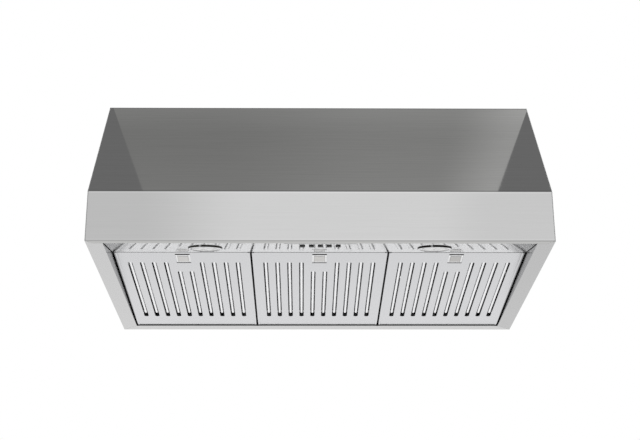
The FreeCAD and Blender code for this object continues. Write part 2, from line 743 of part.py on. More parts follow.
def controls():
    """The button plate, the switch behind the strip and its five buttons."""
    places = button_places()
    opening = button_size + 2 * button_gap
    plate = new_body("Bezel")
    middle = bezel_front + bezel_length / 2
    outlines = [centred(0, middle, bezel_width, bezel_length, bezel_corner)]
    outlines += [centred(x, button_along, opening, opening) for x in places]
    pad(plate, "XY_Plane", outlines, bezel_thick, -bezel_thick)
    node("control_bezel", on_strip(plate))

    deep = (button_along - switch_depth / 2, button_along + switch_depth / 2)
    wide = (-switch_width / 2, switch_width / 2)
    room = steel + seam + button_foot + button_travel + seam
    case = block(wide, deep, (steel, steel + switch_height))
    inner_wide = (wide[0] + switch_wall, wide[1] - switch_wall)
    inner_deep = (deep[0] + switch_wall, deep[1] - switch_wall)
    space = block(inner_wide, inner_deep, (steel / 2, room))
    node("switch_body", on_strip(cut(case, space)))

    foot = button_size + 2 * button_foot
    for number, x in enumerate(places, 1):
        button = new_body("Button")
        cap = [centred(0, button_along, button_size, button_size, button_corner)]
        low = bezel_thick + button_proud
        pad(button, "XY_Plane", cap, low + steel + seam + button_foot, -low)
        pad(button, "XY_Plane", [centred(0, button_along, foot, foot)], button_foot, steel + seam)
        node(f"button_{number}", on_strip(button, x))


def lights():
    """Two lights: a ring in the strip's hole, a lens in the ring and a finned lamp body behind it."""
    bore = lens_radius + seam
    neck = light_hole - seam
    ring = [
        (bore, ring_neck),
        (bore, ring_round - ring_proud),
        (bore + ring_round / 2, -ring_proud),
        (ring_radius - ring_round, -ring_proud, (ring_radius - ring_round, ring_round - ring_proud)),
        (ring_radius, ring_round - ring_proud),
        (ring_radius, 0),
        (neck, 0),
        (neck, ring_neck),
    ]
    sweep = (lens_radius * lens_radius + lens_bulge * lens_bulge) / (2 * lens_bulge)
    crown = -lens_set - lens_bulge
    lens = [
        (0, lens_top),
        (0, crown, (0, crown + sweep)),
        (lens_radius, -lens_set),
        (lens_radius, lens_top),
    ]
    shoulder = ring_neck + seam
    groove = lamp_radius - lamp_fin_depth
    lamp = [(0, lens_top), (lens_radius, lens_top), (lens_radius, shoulder)]
    for step in range(3):
        low = shoulder + 2 * lamp_fin * step
        lamp += [(lamp_radius, low), (lamp_radius, low + lamp_fin)]
        lamp += [(groove, low + lamp_fin), (groove, low + 2 * lamp_fin)]
    top = shoulder + 6 * lamp_fin
    lamp += [(lamp_radius, top), (lamp_radius, top + lamp_fin), (0, top + lamp_fin)]
    for name, side in (("left", -1), ("right", 1)):
        for label, outline in (("light_ring", ring), ("light_lens", lens), ("lamp_body", lamp)):
            turned = revolved("Light", outline)
            node(f"{name}_{label}", on_strip(turned, side * light_spacing / 2, light_along))


def slot_places():
    """The x of each slot, from the left, and how far its near end is from the filter's front edge."""
    middle = (SLOTS - 1) / 2
    starts = [slot_short_start if abs(index - middle) < 1 else slot_start for index in range(SLOTS)]
    return [(slot_pitch * (index - middle), start) for index, start in enumerate(starts)]


def filter_face(x):
    """The slotted pan: a face with its rim, and a lip in front that covers the latch gap."""
    body = new_body("FilterFace")
    wide = (-filter_width / 2, filter_width / 2)
    window = rectangle(
        (-latch_window / 2, latch_window / 2),
        (latch_window_front - filter_reach, latch_window_front + latch_window_length - filter_reach),
    )
    far = slot_end - filter_reach
    slots = [slot(middle, start - filter_reach, far, slot_width) for middle, start in slot_places()]
    face = rectangle(wide, (-filter_reach, filter_overlap))
    pad(body, "XY_Plane", [face, window] + slots, filter_sheet)
    rim_front = filter_front_lip - filter_reach
    outer = rectangle(wide, (rim_front, filter_overlap))
    inner = rectangle(
        (wide[0] + filter_sheet, wide[1] - filter_sheet),
        (rim_front + filter_sheet, filter_overlap - filter_sheet),
    )
    pad(body, "XY_Plane", [outer, inner], filter_rim)
    half_notch = bolt_width / 2 + 2 * latch_gap
    notch = rectangle((-half_notch, half_notch), (bolt_low - 2 * latch_gap, filter_rim + filter_sheet))
    pocket(body, "XZ_Plane", [notch], 4 * filter_sheet, filter_reach - filter_front_lip - filter_sheet / 2)
    return on_filter(body, x)


def filter_baffles(x):
    """Half round ridges behind the slots, carried by cross bars whose feet stand on the face."""
    body = new_body("FilterBaffles")
    middle = filter_sheet + ridge_clear + ridge_radius
    inner = ridge_radius - filter_sheet
    far = slot_end - ridge_stop
    for wanted in (slot_start, slot_short_start):
        near = wanted - ridge_bar / 2
        middles = [place_x for place_x, start in slot_places() if start is wanted]
        rings = [half_ring(place_x, middle, ridge_radius, inner) for place_x in middles]
        pad(body, "XZ_Plane", rings, far - near, filter_reach - far)
    low, high = middle - filter_sheet, middle + filter_sheet
    side_in, side_out = slot_pitch * 1.25, slot_pitch * 5
    long_bar, short_bar, far_bar = [
        (middle_y - ridge_bar / 2 - filter_reach, middle_y + ridge_bar / 2 - filter_reach)
        for middle_y in (slot_start, slot_short_start, far - ridge_bar / 2)
    ]
    bars = [
        ((-side_out, -side_in), long_bar),
        ((side_in, side_out), long_bar),
        ((-slot_pitch, slot_pitch), short_bar),
        ((-side_out, side_out), far_bar),
    ]
    for span, along in bars:
        pad(body, "XY_Plane", [rectangle(span, along)], high - low, low)
        for foot in ((span[0], span[0] + ridge_foot), (span[1] - ridge_foot, span[1])):
            pad(body, "XY_Plane", [rectangle(foot, along)], high - filter_sheet, filter_sheet)
    return on_filter(body, x)


def filter_latch(x):
    """The sprung slide: plate over the window, finger pad, bolt and spring post."""
    edge = -filter_reach
    low = filter_sheet + latch_gap
    high = low + latch_plate
    plate_half = latch_window / 2 + latch_overlap
    plate_front = edge + latch_window_front + latch_finger_gap
    plate_back = edge + latch_plate_end
    pad_half = latch_pad / 2
    pad_along = (edge + latch_pad_start, edge + latch_pad_start + latch_pad_length)
    bolt_half = bolt_width / 2
    root_end = edge + bolt_root
    bolt_high = bolt_low + bolt_thick
    post = edge + post_place
    pieces = [
        block((-plate_half, plate_half), (plate_front, plate_back), (low, high)),
        block((-pad_half, pad_half), pad_along, (latch_pad_set, high)),
        block((-bolt_half, bolt_half), (edge + bolt_tip, root_end), (bolt_low, bolt_high)),
        block((-bolt_half, bolt_half), (root_end - bolt_riser, root_end), (low, bolt_high)),
        block((-post_width / 2, post_width / 2), (post, post + post_thick), (low, post_top)),
    ]
    return on_filter(joined(pieces), x)


def filter_latch_guide(x):
    """The guide over the slide: two rails on the face, a strap across them and the spring's seat."""
    edge = -filter_reach
    rail_in = latch_window / 2 + latch_overlap + latch_gap
    rail_out = rail_in + 2 * filter_sheet
    strap_low = filter_sheet + 2 * latch_gap + latch_plate
    strap_high = strap_low + filter_sheet
    along = (edge + guide_front, edge + guide_back)
    pieces = [
        block((-rail_out, -rail_in), along, (filter_sheet, strap_high)),
        block((rail_in, rail_out), along, (filter_sheet, strap_high)),
        block((-rail_out, rail_out), (along[0], along[0] + guide_strap), (strap_low, strap_high)),
        block((-rail_out, rail_out), (along[1] - filter_sheet, along[1]), (filter_sheet, post_top)),
    ]
    return on_filter(joined(pieces), x)


def filter_latch_spring(x):
    """The coil spring between the slide's post and the guide's seat."""
    start = post_place + post_thick - filter_reach + spring_wire + latch_gap
    end = guide_back - filter_sheet - filter_reach - spring_wire - latch_gap
    helix = doc.addObject("Part::Helix", "Coil")
    bind(helix, "Radius", spring_radius)
    bind(helix, "Height", end - start)
    bind(helix, "Pitch", (end - start) / spring_turns)
    wire = doc.addObject("Part::Circle", "Wire")
    bind(wire, "Radius", spring_wire)
    wire.Placement = FreeCAD.Placement(FreeCAD.Vector(), FreeCAD.Rotation(X_AXIS, 90))
    bind(wire, "Placement.Base.x", spring_radius)
    spring = doc.addObject("Part::Sweep", "Spring")
    spring.Sections = [wire]
    spring.Spine = (helix, ["Edge1"])
    spring.Solid = True
    spring.Frenet = True
    y, z = filter_point(start, spring_height)
    return place(spring, x, y, z, -filter_tilt - 90)


def filter_catch(x):
    """The spring catch on the strip's upstand, with the hook that the latch bolt rests on."""
    wide = (x - bolt_width / 2, x + bolt_width / 2)
    low = strip_back_z + catch_low
    leg = block(wide, (strip_back_y, strip_back_y + catch_thick), (low, low + catch_leg))
    hook = block(wide, (strip_back_y, strip_back_y + catch_reach), (low, low + catch_thick))
    return joined([leg, hook])


def filters():
    makers = {
        "face": filter_face,
        "baffles": filter_baffles,
        "latch": filter_latch,
        "latch_guide": filter_latch_guide,
        "latch_spring": filter_latch_spring,
        "catch": filter_catch,
    }
    for number in (1, 2, 3):
        x = (filter_width + filter_gap) * (number - 2)
        for name, maker in makers.items():
            node(f"filter_{number}_{name}", maker(x))


def duct():
    """The duct collar on the top sheet, its damper rod and the two flaps that swing up on the rod."""
    bore = collar_radius - collar_wall
    tube = rod(collar_radius, collar_height, 0, duct_y, top_face)
    foot = rod(collar_radius + collar_flange, collar_wall, 0, duct_y, top_face)
    way = rod(bore, 3 * collar_height, 0, duct_y, top_face - collar_height)
    axis_z = top_face + damper_height
    rod_half = collar_radius - collar_wall / 4
    bearing_radius = damper_rod_radius + damper_running
    across = 2 * collar_radius
    rod_hole = rod(bearing_radius, 2 * across, -across, duct_y, axis_z, X_AXIS)
    hole = screw_radius + screw_clear
    screw_holes = [rod(hole, 4 * collar_wall, x, y, top_face - collar_wall) for x, y in collar_screw_places()]
    node("duct_collar", cut(joined([tube, foot]), way, rod_hole, *screw_holes))
    node("damper_rod", rod(damper_rod_radius, 2 * rod_half, -rod_half, duct_y, axis_z, X_AXIS))

    chord = root(damper_radius * damper_radius - damper_web * damper_web)
    step = damper_barrel_length + damper_barrel_gap
    for label, side in (("front_damper_flap", -1), ("rear_damper_flap", 1)):
        leaf = new_body("Flap")
        corners = [(side * chord, side * damper_web, (0, 0)), (-side * chord, side * damper_web)]
        pad(leaf, "XY_Plane", [corners], damper_sheet, symmetric=True)
        pieces = [leaf]
        starts = [-2 * step, as_size(0)] if side < 0 else [-step, step]
        for start in starts:
            begin = start + damper_barrel_gap / 2
            pieces.append(rod(damper_barrel, damper_barrel_length, begin, 0, 0, X_AXIS))
            web = (0, damper_web + damper_sheet) if side > 0 else (-damper_web - damper_sheet, 0)
            span = (begin, begin + damper_barrel_length)
            pieces.append(block(span, web, (-damper_sheet / 2, damper_sheet / 2)))
        bearing = rod(bearing_radius, 2 * across, -across, 0, 0, X_AXIS)
        node(label, place(cut(joined(pieces), bearing), 0, duct_y, axis_z))


def scroll_outline(wall, above):
    """The scroll's outline, drawn in by the wall: three growing quarter rounds and the upright outlet."""
    first = (scroll_y, scroll_height)
    second = (scroll_y + scroll_step, scroll_height)
    third = (scroll_y + scroll_step, scroll_height + scroll_step)
    radii = [scroll_start - wall, scroll_start + scroll_step - wall, scroll_end - wall]
    crest = first[1] + radii[0]
    corners = [
        (first[0], crest, first),
        (first[0] - radii[0], first[1], second),
        (second[0], second[1] - radii[1], third),
        (third[0] + radii[2], third[1]),
        (third[0] + radii[2], top_under + above),
        (first[0] + wall, top_under + above),
    ]
    if isinstance(wall, Size):
        corners.append((first[0] + wall, crest))
    return corners


def blower():
    """The scroll under the duct, with an inlet each side and feet against the top sheet."""
    body = new_body("Scroll")
    pad(body, "YZ_Plane", [scroll_outline(0, as_size(0))], scroll_width, symmetric=True)
    back = scroll_y + scroll_step + scroll_end
    for start in (-scroll_width / 2 - scroll_foot, scroll_width / 2 - steel):
        foot = rectangle((start, start + scroll_foot + steel), (scroll_y, back))
        pad(body, "XY_Plane", [foot], steel, top_under - steel)
    pocket(body, "YZ_Plane", [scroll_outline(steel, steel)], scroll_width - 2 * steel)
    pocket(body, "YZ_Plane", [circle(wheel_y, wheel_z, scroll_inlet)], scroll_width + 2 * steel)
    node("blower_housing", body)


def blower_wheel():
    """The squirrel cage wheel: a middle disc with its hub, leaning blades and an end ring each side."""
    body = new_body("Wheel")
    inner = wheel_radius - wheel_blade
    pad(body, "YZ_Plane", [circle(0, 0, wheel_radius)], 2 * wheel_sheet, symmetric=True)
    pad(body, "YZ_Plane", [circle(0, 0, wheel_hub)], wheel_hub_length, symmetric=True)
    for end in (-wheel_width / 2, wheel_width / 2 - wheel_sheet):
        pad(body, "YZ_Plane", [circle(0, 0, wheel_radius), circle(0, 0, inner)], wheel_sheet, end)
    blade = [
        (0, inner),
        (wheel_sheet, inner),
        (wheel_lean + wheel_sheet, wheel_radius - wheel_sheet),
        (wheel_lean, wheel_radius - wheel_sheet),
    ]
    first_blade = pad(body, "YZ_Plane", [blade], wheel_width, symmetric=True)
    doc.recompute()
    ring = body.newObject("PartDesign::PolarPattern", "Blades")
    ring.Originals = [first_blade]
    ring.Axis = (next(feature for feature in body.Origin.OriginFeatures if feature.Role == "X_Axis"), [""])
    ring.Angle = 360
    ring.Occurrences = WHEEL_BLADES
    body.Tip = ring
    pocket(body, "YZ_Plane", [circle(0, 0, shaft_radius + shaft_running)], 2 * wheel_hub_length)
    node("blower_wheel", place(body, 0, wheel_y, wheel_z))


def motor():
    """The motor beside the scroll, the plate and legs that carry it, and its shaft into the wheel's hub."""
    boss = motor_plate + seam
    can = rod(motor_radius, motor_length, motor_x - motor_plate - motor_length, wheel_y, wheel_z, X_AXIS)
    cap_start = motor_x - motor_plate - motor_length - motor_cap
    cap = rod(motor_cap_radius, motor_cap, cap_start, wheel_y, wheel_z, X_AXIS)
    nose = rod(motor_boss, boss, motor_x - motor_plate, wheel_y, wheel_z, X_AXIS)
    shaft_start = motor_x - motor_plate - motor_shaft_depth
    bore_start = shaft_start - seam
    bore = rod(shaft_radius + shaft_running, 2 * motor_shaft_depth, bore_start, wheel_y, wheel_z, X_AXIS)
    node("motor", cut(joined([can, cap, nose]), bore))
    shaft_end = wheel_hub_length / 2
    node("motor_shaft", rod(shaft_radius, shaft_end - shaft_start, shaft_start, wheel_y, wheel_z, X_AXIS))

    pieces = [rod(motor_plate_radius, motor_plate, motor_x - motor_plate, wheel_y, wheel_z, X_AXIS)]
    for turn in (math.radians(90), math.radians(210), math.radians(330)):
        y = wheel_y + motor_leg_circle * math.cos(turn)
        z = wheel_z + motor_leg_circle * math.sin(turn)
        pieces.append(rod(motor_leg, motor_stand + motor_plate, motor_x - motor_plate, y, z, X_AXIS))
    hole = rod(motor_boss + seam, 4 * motor_plate, motor_x - 2 * motor_plate, wheel_y, wheel_z, X_AXIS)
    node("motor_bracket", cut(joined(pieces), hole))


def electrics():
    """The junction box with its cover, cable bush and terminals, the capacitor and the lamp driver."""
    x = (junction_x, junction_x + junction_length)
    y = (junction_y, junction_y + junction_depth)
    low = top_under - junction_height
    shell = block(x, y, (low, top_under))
    room = block((x[0] + steel, x[1] - steel), (y[0] + steel, y[1] - steel), (low - steel, top_under - steel))
    cable_way = rod(cable_hole, 4 * steel, cable_x, -cable_back, top_under - 2 * steel)
    node("junction_box", cut(shell, room, cable_way))

    lid = block(x, y, (low - steel, low))
    middle_y = -cable_back
    lid_screws = [(x[0] + cover_screw_inset, middle_y), (x[1] - cover_screw_inset, middle_y)]
    hole = screw_radius + screw_clear
    holes = [rod(hole, 4 * steel, place_x, place_y, low - 2 * steel) for place_x, place_y in lid_screws]
    node("junction_box_cover", cut(lid, *holes))
    screws = []
    for place_x, place_y in lid_screws:
        shank = rod(screw_radius, screw_length + steel, place_x, place_y, low - steel)
        head = rod(screw_head, screw_head_height, place_x, place_y, low - steel - screw_head_height)
        screws.append(joined([shank, head]))
    node("cover_screws", group(screws))

    neck = cable_hole - seam
    rim = cable_hole + bush_flange
    bush_low = top_under - steel - bush_rim
    bush = [
        rod(rim, bush_rim, cable_x, -cable_back, top_face),
        rod(neck, top_face - bush_low + bush_rim, cable_x, -cable_back, bush_low),
        rod(rim, bush_rim, cable_x, -cable_back, bush_low),
    ]
    bush_bore = rod(cable_bore, 2 * junction_height, cable_x, -cable_back, top_face - junction_height)
    node("cable_bush", cut(joined(bush), bush_bore))

    block_high = top_under - steel
    block_x = (x[0] + 4 * steel, x[0] + 4 * steel + terminal_depth)
    block_y = (middle_y - terminal_length / 2, middle_y + terminal_length / 2)
    body = block(block_x, block_y, (block_high - terminal_height, block_high))
    wells = [
        rod(
            terminal_screw,
            terminal_height,
            block_x[0] + terminal_depth / 2,
            middle_y + terminal_pole * step,
            block_high - 1.5 * terminal_height,
        )
        for step in (-1, 0, 1)
    ]
    node("terminal_block", cut(body, *wells))

    can_y = y[0] - capacitor_radius - 4 * steel
    can_z = top_under - capacitor_radius
    node("capacitor", rod(capacitor_radius, capacitor_length, x[0], can_y, can_z, X_AXIS))

    driver = new_body("LampDriver")
    outline = [centred(-driver_x, -cable_back, driver_length, driver_depth, driver_corner)]
    pad(driver, "XY_Plane", outline, driver_height, top_under - driver_height)
    node("lamp_driver", driver)


def check_and_export():
    """Recomputes everything, stops on any failed object, and writes one file for each piece."""
    doc.recompute()
    for thing in doc.Objects:
        if "Invalid" in thing.State or "Error" in thing.State:
            raise RuntimeError(f"{thing.Label} failed: {thing.State}")
    for thing in nodes:
        if thing.Shape.isNull() or not thing.Shape.isValid() or not thing.Shape.Solids:
            raise RuntimeError(f"{thing.Label} has no valid solid")
    os.makedirs("parts", exist_ok=True)
    for thing in nodes:
        thing.Shape.exportStep(f"parts/{thing.Label}.step")
        print(f"{thing.Label}: {len(thing.Shape.Solids)} solids, {thing.Shape.Volume:.0f} mm3")


front_shell()
side_panel("left_side_panel", -1)
side_panel("right_side_panel", 1)
back_panel()
top_panel()
top_screws()
control_strip()
side_liner("left_side_liner", -1)
side_liner("right_side_liner", 1)
controls()
lights()
filters()
duct()
blower()
blower_wheel()
motor()
electrics()
check_and_export()
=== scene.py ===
"""Finishes, camera and studio for the wall mount range hood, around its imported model."""

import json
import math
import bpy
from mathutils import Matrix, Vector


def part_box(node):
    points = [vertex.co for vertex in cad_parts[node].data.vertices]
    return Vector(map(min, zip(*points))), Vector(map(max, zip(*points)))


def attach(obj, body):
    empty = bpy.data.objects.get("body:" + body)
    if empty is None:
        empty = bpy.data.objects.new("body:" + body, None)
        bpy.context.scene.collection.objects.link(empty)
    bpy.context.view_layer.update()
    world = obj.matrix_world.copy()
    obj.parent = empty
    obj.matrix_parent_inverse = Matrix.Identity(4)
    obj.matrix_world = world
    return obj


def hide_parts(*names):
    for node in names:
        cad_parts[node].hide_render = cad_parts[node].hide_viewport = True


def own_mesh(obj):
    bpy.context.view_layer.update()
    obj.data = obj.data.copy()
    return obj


bl_info = {
    "name": "Range hood looks",
    "version": (1, 0, 0),
    "blender": (4, 5, 0),
    "location": "View3D > Sidebar > Hood",
    "description": "Gives the range hood its finishes and sets up its studio",
    "category": "Object",
}

from typing import NamedTuple

import bpy
import numpy as np
from bpy.props import FloatProperty, FloatVectorProperty, PointerProperty
from mathutils import Matrix, Vector

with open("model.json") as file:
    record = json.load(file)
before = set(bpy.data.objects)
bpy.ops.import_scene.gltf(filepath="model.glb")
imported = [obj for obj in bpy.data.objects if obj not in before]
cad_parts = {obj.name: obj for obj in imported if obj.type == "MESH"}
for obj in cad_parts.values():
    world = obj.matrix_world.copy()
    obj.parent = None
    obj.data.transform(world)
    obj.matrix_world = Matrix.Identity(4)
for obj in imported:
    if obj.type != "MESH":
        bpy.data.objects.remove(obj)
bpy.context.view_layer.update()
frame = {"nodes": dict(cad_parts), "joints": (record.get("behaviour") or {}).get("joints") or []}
JOINTS = {joint["name"]: joint for joint in frame["joints"]}
FILTERS = (1, 2, 3)
BUTTONS = (1, 2, 3, 4, 5)
SIDES = ("left", "right")
SHELL_LOW, SHELL_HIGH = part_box("front_shell")
TOP_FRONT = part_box("top_panel")[0].y
STRIP_UP = Vector(JOINTS["button_1_press"]["axis"])
STRIP_TILT = math.atan2(-STRIP_UP.y, STRIP_UP.z)
FILTER_BACK = Vector(JOINTS["latch_1_slide"]["axis"])
FILTER_UP = Vector((0, -FILTER_BACK.z, FILTER_BACK.y))
FILTER_PIVOT = Vector(JOINTS["filter_2_swing"]["pos_m"])
FILTER_REACH = (FILTER_PIVOT.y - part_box("filter_2_face")[0].y) / FILTER_BACK.y

# Directions of the hood
RIGHTWARD = (1, 0, 0)
AHEAD = (0, -1, 0)
UP = (0, 0, 1)
DOWN = (0, 0, -1)

# Usual range of a noise, shares of a finish's roughness, and the share of streaks in a calm zone
NOISE_LOW = 0.3
NOISE_HIGH = 0.7
BRUSHED_LEAST = 0.8
BRUSHED_CLOUD = 0.95
BRUSHED_STREAK = 0.25
POLISHED_LEAST = 0.8
POLISHED_HAZE = 0.4
CALM_STREAK = 0.35

# Steps of the new pieces' surfaces, and how far the hems stay from the filters' ends
HEM_POINTS = 9
HEM_FRONT = 0.001
HEM_REAR = 0.004
COIL_STEPS = 28
WIRE_SIDES = 10
CORNER_ANGLE = math.radians(50)


def tint(name, about, default):
    return FloatVectorProperty(
        name=name, description=about, subtype="COLOR", size=3, min=0, max=1, default=default
    )


def share(name, about, default):
    return FloatProperty(name=name, description=about, subtype="FACTOR", min=0, max=1, default=default)


def length(name, about, default):
    return FloatProperty(name=name, description=about, unit="LENGTH", precision=5, default=default)


def angle(name, about, degrees):
    return FloatProperty(name=name, description=about, subtype="ANGLE", default=math.radians(degrees))


class HoodFinish(bpy.types.PropertyGroup):
    """Colours, gloss and small sizes of the hood's finishes."""

    shell_color: tint("Canopy steel", "Brushed steel of the canopy", (0.62, 0.62, 0.62))
    shell_roughness: share("Canopy roughness", "Blur of the canopy's front", 0.035)
    panel_roughness: share("Panel roughness", "Blur of the canopy's sides, back and top", 0.16)
    band_height: length("Band", "Height of the fold between band and slope", 0.104)
    filter_color: tint("Filter steel", "Satin steel of the filters", (0.655, 0.658, 0.672))
    filter_roughness: share("Filter roughness", "Blur of the filters' satin steel", 0.24)
    ridge_color: tint("Ridge steel", "Bright steel of the ridges in the slots", (0.93, 0.93, 0.94))
    ridge_roughness: share("Ridge roughness", "Haze of the ridges in the slots", 0.28)
    latch_color: tint("Latch steel", "Satin steel of the filter latches", (0.82, 0.82, 0.825))
    pad_color: tint("Latch pad", "Finger pad of a filter latch", (0.70, 0.69, 0.675))
    # painted highlight at the finger pad's front
    pad_front: length("Pad front", "Bright front of the finger pad behind the filter's front edge", 0.0205)
    # painted shade on the latch bolt
    bolt_end: length("Latch bolt", "Dark part of the latch bolt behind the filter's front edge", 0.0152)
    hem_width: length("Hem width", "Rolled hem along each side of a filter", 0.005)
    hem_height: length("Hem height", "Rolled hem below the filter's face", 0.0006)
    spring_color: tint("Spring steel", "Steel of the latch springs and their catches", (0.55, 0.55, 0.56))
    spring_wire: length("Spring wire", "Thickness of the latch springs' wire", 0.0008)
    spring_turns: FloatProperty(name="Spring turns", description="Turns of a latch spring", default=7.0)
    strip_color: tint("Strip steel", "Polished steel of the control strip", (0.765, 0.77, 0.78))
    strip_roughness: share("Strip roughness", "Haze under the control strip's gloss", 0.16)
    button_color: tint("Button plastic", "Black plastic of the buttons", (0.012, 0.012, 0.013))
    switch_color: tint("Switch plastic", "Plastic of the switch and the lamp driver", (0.03, 0.03, 0.032))
    chrome_color: tint("Ring chrome", "Chrome of the light rings", (0.80, 0.80, 0.81))
    lens_color: tint("Lens", "Frosted lens of the lights", (0.85, 0.85, 0.84))
    lamp_color: tint("Lamp aluminium", "Cast aluminium of the lamp bodies", (0.6, 0.6, 0.61))
    zinc_color: tint("Zinc sheet", "Zinc coated sheet of the duct and blower", (0.52, 0.54, 0.55))
    screw_color: tint("Screw steel", "Plain steel of the screws and shafts", (0.62, 0.62, 0.63))
    motor_color: tint("Motor paint", "Paint of the blower's motor", (0.05, 0.05, 0.055))
    pale_color: tint("Pale plastic", "Plastic of the terminals and the capacitor", (0.72, 0.71, 0.67))
    rubber_color: tint("Bush rubber", "Rubber of the cable bush", (0.025, 0.025, 0.025))


class HoodStage(bpy.types.PropertyGroup):
    """Camera and studio of the picture."""

    camera_x: length("Camera across", "Camera to the right of the hood's middle", -0.03402)
    camera_y: length("Camera back", "Camera from the wall", -2.9842)
    camera_z: length("Camera height", "Camera above the hood's bottom edge", -0.8714)
    camera_lens: FloatProperty(
        name="Lens", description="Focal length on a 36 mm sensor", unit="CAMERA", default=73.361
    )
    camera_pitch: angle("Pitch", "Upward look of the camera", 21.0743)
    camera_yaw: angle("Yaw", "Turn of the camera to the right", 0.7935)
    camera_roll: angle("Roll", "Roll of the camera", -0.2042)
    floor_height: length("Floor", "Height of the floor", -1.6)
    floor_shade: share("Floor shade", "Brightness of the floor near the hood", 0.82)
    floor_front: share("Floor in front", "Brightness of the floor in front, as metal shows it", 0.55)
    overhead: share("Overhead", "Brightness of the studio above", 0.205)
    left_wall: share("Left", "Brightness of the studio to the left", 0.80)
    right_wall: share("Right", "Brightness of the studio to the right", 0.92)
    card_left: share("Card left", "Brightness of the overhead card at its left", 0.26)
    card_middle: share("Card middle", "Brightness of the overhead card right of its middle", 0.31)
    card_right: share("Card right", "Brightness of the overhead card at its right", 0.455)
    lamp_size: length("Lamp size", "Side of the soft lamp", 1.6)
    lamp_power: FloatProperty(name="Lamp", description="Power of the soft lamp", unit="POWER", default=20.0)


def finish():
    return bpy.context.scene.hood_finish


def reach_along(name, direction):
    """Where a CAD piece starts and ends along a direction."""
    mesh = frame["nodes"][name].data
    points = np.empty(3 * len(mesh.vertices))
    mesh.vertices.foreach_get("co", points)
    along = points.reshape(-1, 3) @ np.array(direction)
    return float(along.min()), float(along.max())


def grey(level):
    return (level, level, level)


def shaded(color, amount):
    """A colour made darker or lighter by a factor."""
    return tuple(min(1.0, part * amount) for part in color)


def add_node(tree, kind, **values):
    """A shader node with values on its named input sockets, spaces written as underscores."""
    made = tree.nodes.new(kind)
    for name, value in values.items():
        made.inputs[name.replace("_", " ")].default_value = value
    return made


def feed(tree, socket, value):
    """Links a socket's source, or sets its plain value."""
    if isinstance(value, bpy.types.NodeSocket):
        tree.links.new(value, socket)
    else:
        socket.default_value = value


def reckon(tree, operation, first, second=0.0, third=0.0, clamp=False):
    """The output of a math node on sockets or numbers."""
    made = tree.nodes.new("ShaderNodeMath")
    made.operation = operation
    made.use_clamp = clamp
    for socket, value in zip(made.inputs, (first, second, third)):
        feed(tree, socket, value)
    return made.outputs[0]


def ramp(tree, value, start, end, low, high, smooth=False):
    """A number that goes from low to high as a socket goes from start to end."""
    made = add_node(tree, "ShaderNodeMapRange", From_Min=start, From_Max=end, To_Min=low, To_Max=high)
    made.interpolation_type = "SMOOTHSTEP" if smooth else "LINEAR"
    tree.links.new(value, made.inputs["Value"])
    return made.outputs["Result"]


def spread(tree, noise, low, high):
    """A number from low to high over a noise socket's usual range."""
    return ramp(tree, noise, NOISE_LOW, NOISE_HIGH, low, high)


def mix_colors(tree, factor, first, second, blend="MIX"):
    """A colour from two colours or colour sockets by a factor."""
    made = tree.nodes.new("ShaderNodeMix")
    made.data_type = "RGBA"
    made.blend_type = blend
    made.clamp_result = False
    feed(tree, made.inputs["Factor"], factor)
    for name, value in (("A", first), ("B", second)):
        socket = next(s for s in made.inputs if s.name == name and s.type == "RGBA")
        feed(tree, socket, value if isinstance(value, bpy.types.NodeSocket) else (*value, 1))
    return next(s for s in made.outputs if s.type == "RGBA")


def varied(tree, factor, color, contrast):
    """A colour that goes from darker to lighter by a contrast as a factor goes from 0 to 1."""
    return mix_colors(tree, factor, shaded(color, 1 - contrast), shaded(color, 1 + contrast))


def new_group(name, inputs, outputs):
    """An empty shader node group with named sockets, and its two end nodes."""
    group = bpy.data.node_groups.new(name, "ShaderNodeTree")
    for label, default in inputs.items():
        kind = "NodeSocketFloat" if isinstance(default, float) else "NodeSocketVector"
        group.interface.new_socket(label, in_out="INPUT", socket_type=kind).default_value = default
    for label in outputs:
        group.interface.new_socket(label, in_out="OUTPUT", socket_type="NodeSocketFloat")
    return group, group.nodes.new("NodeGroupInput"), group.nodes.new("NodeGroupOutput")


def brushing_group():
    """Brushing: noise drawn out along the grain for fine streaks, and a slow cloud for handling marks."""
    inputs = {"Vector": (0, 0, 0), "Stretch": (4, 900, 900)}
    group, start, end = new_group("Brushing", inputs, ("Streak", "Cloud"))
    drawn = group.nodes.new("ShaderNodeVectorMath")
    drawn.operation = "MULTIPLY"
    group.links.new(start.outputs["Vector"], drawn.inputs[0])
    group.links.new(start.outputs["Stretch"], drawn.inputs[1])
    fine = add_node(group, "ShaderNodeTexNoise", Scale=1.0, Detail=5.0, Roughness=0.65)
    slow = add_node(group, "ShaderNodeTexNoise", Scale=4.0, Detail=3.0, Roughness=0.5)
    group.links.new(drawn.outputs[0], fine.inputs["Vector"])
    group.links.new(start.outputs["Vector"], slow.inputs["Vector"])
    group.links.new(fine.outputs[0], end.inputs["Streak"])
    group.links.new(slow.outputs[0], end.inputs["Cloud"])
    return group


def speckle_group():
    """Speckle: fine grain of a moulded or cast surface, and a slow cloud for handling marks."""
    group, start, end = new_group("Speckle", {"Vector": (0, 0, 0), "Scale": 600.0}, ("Grain", "Cloud"))
    fine = add_node(group, "ShaderNodeTexNoise", Detail=4.0, Roughness=0.6)
    slow = add_node(group, "ShaderNodeTexNoise", Scale=14.0, Detail=2.0, Roughness=0.5)
    group.links.new(start.outputs["Vector"], fine.inputs["Vector"])
    group.links.new(start.outputs["Scale"], fine.inputs["Scale"])
    group.links.new(start.outputs["Vector"], slow.inputs["Vector"])
    group.links.new(fine.outputs[0], end.inputs["Grain"])
    group.links.new(slow.outputs[0], end.inputs["Cloud"])
    return group


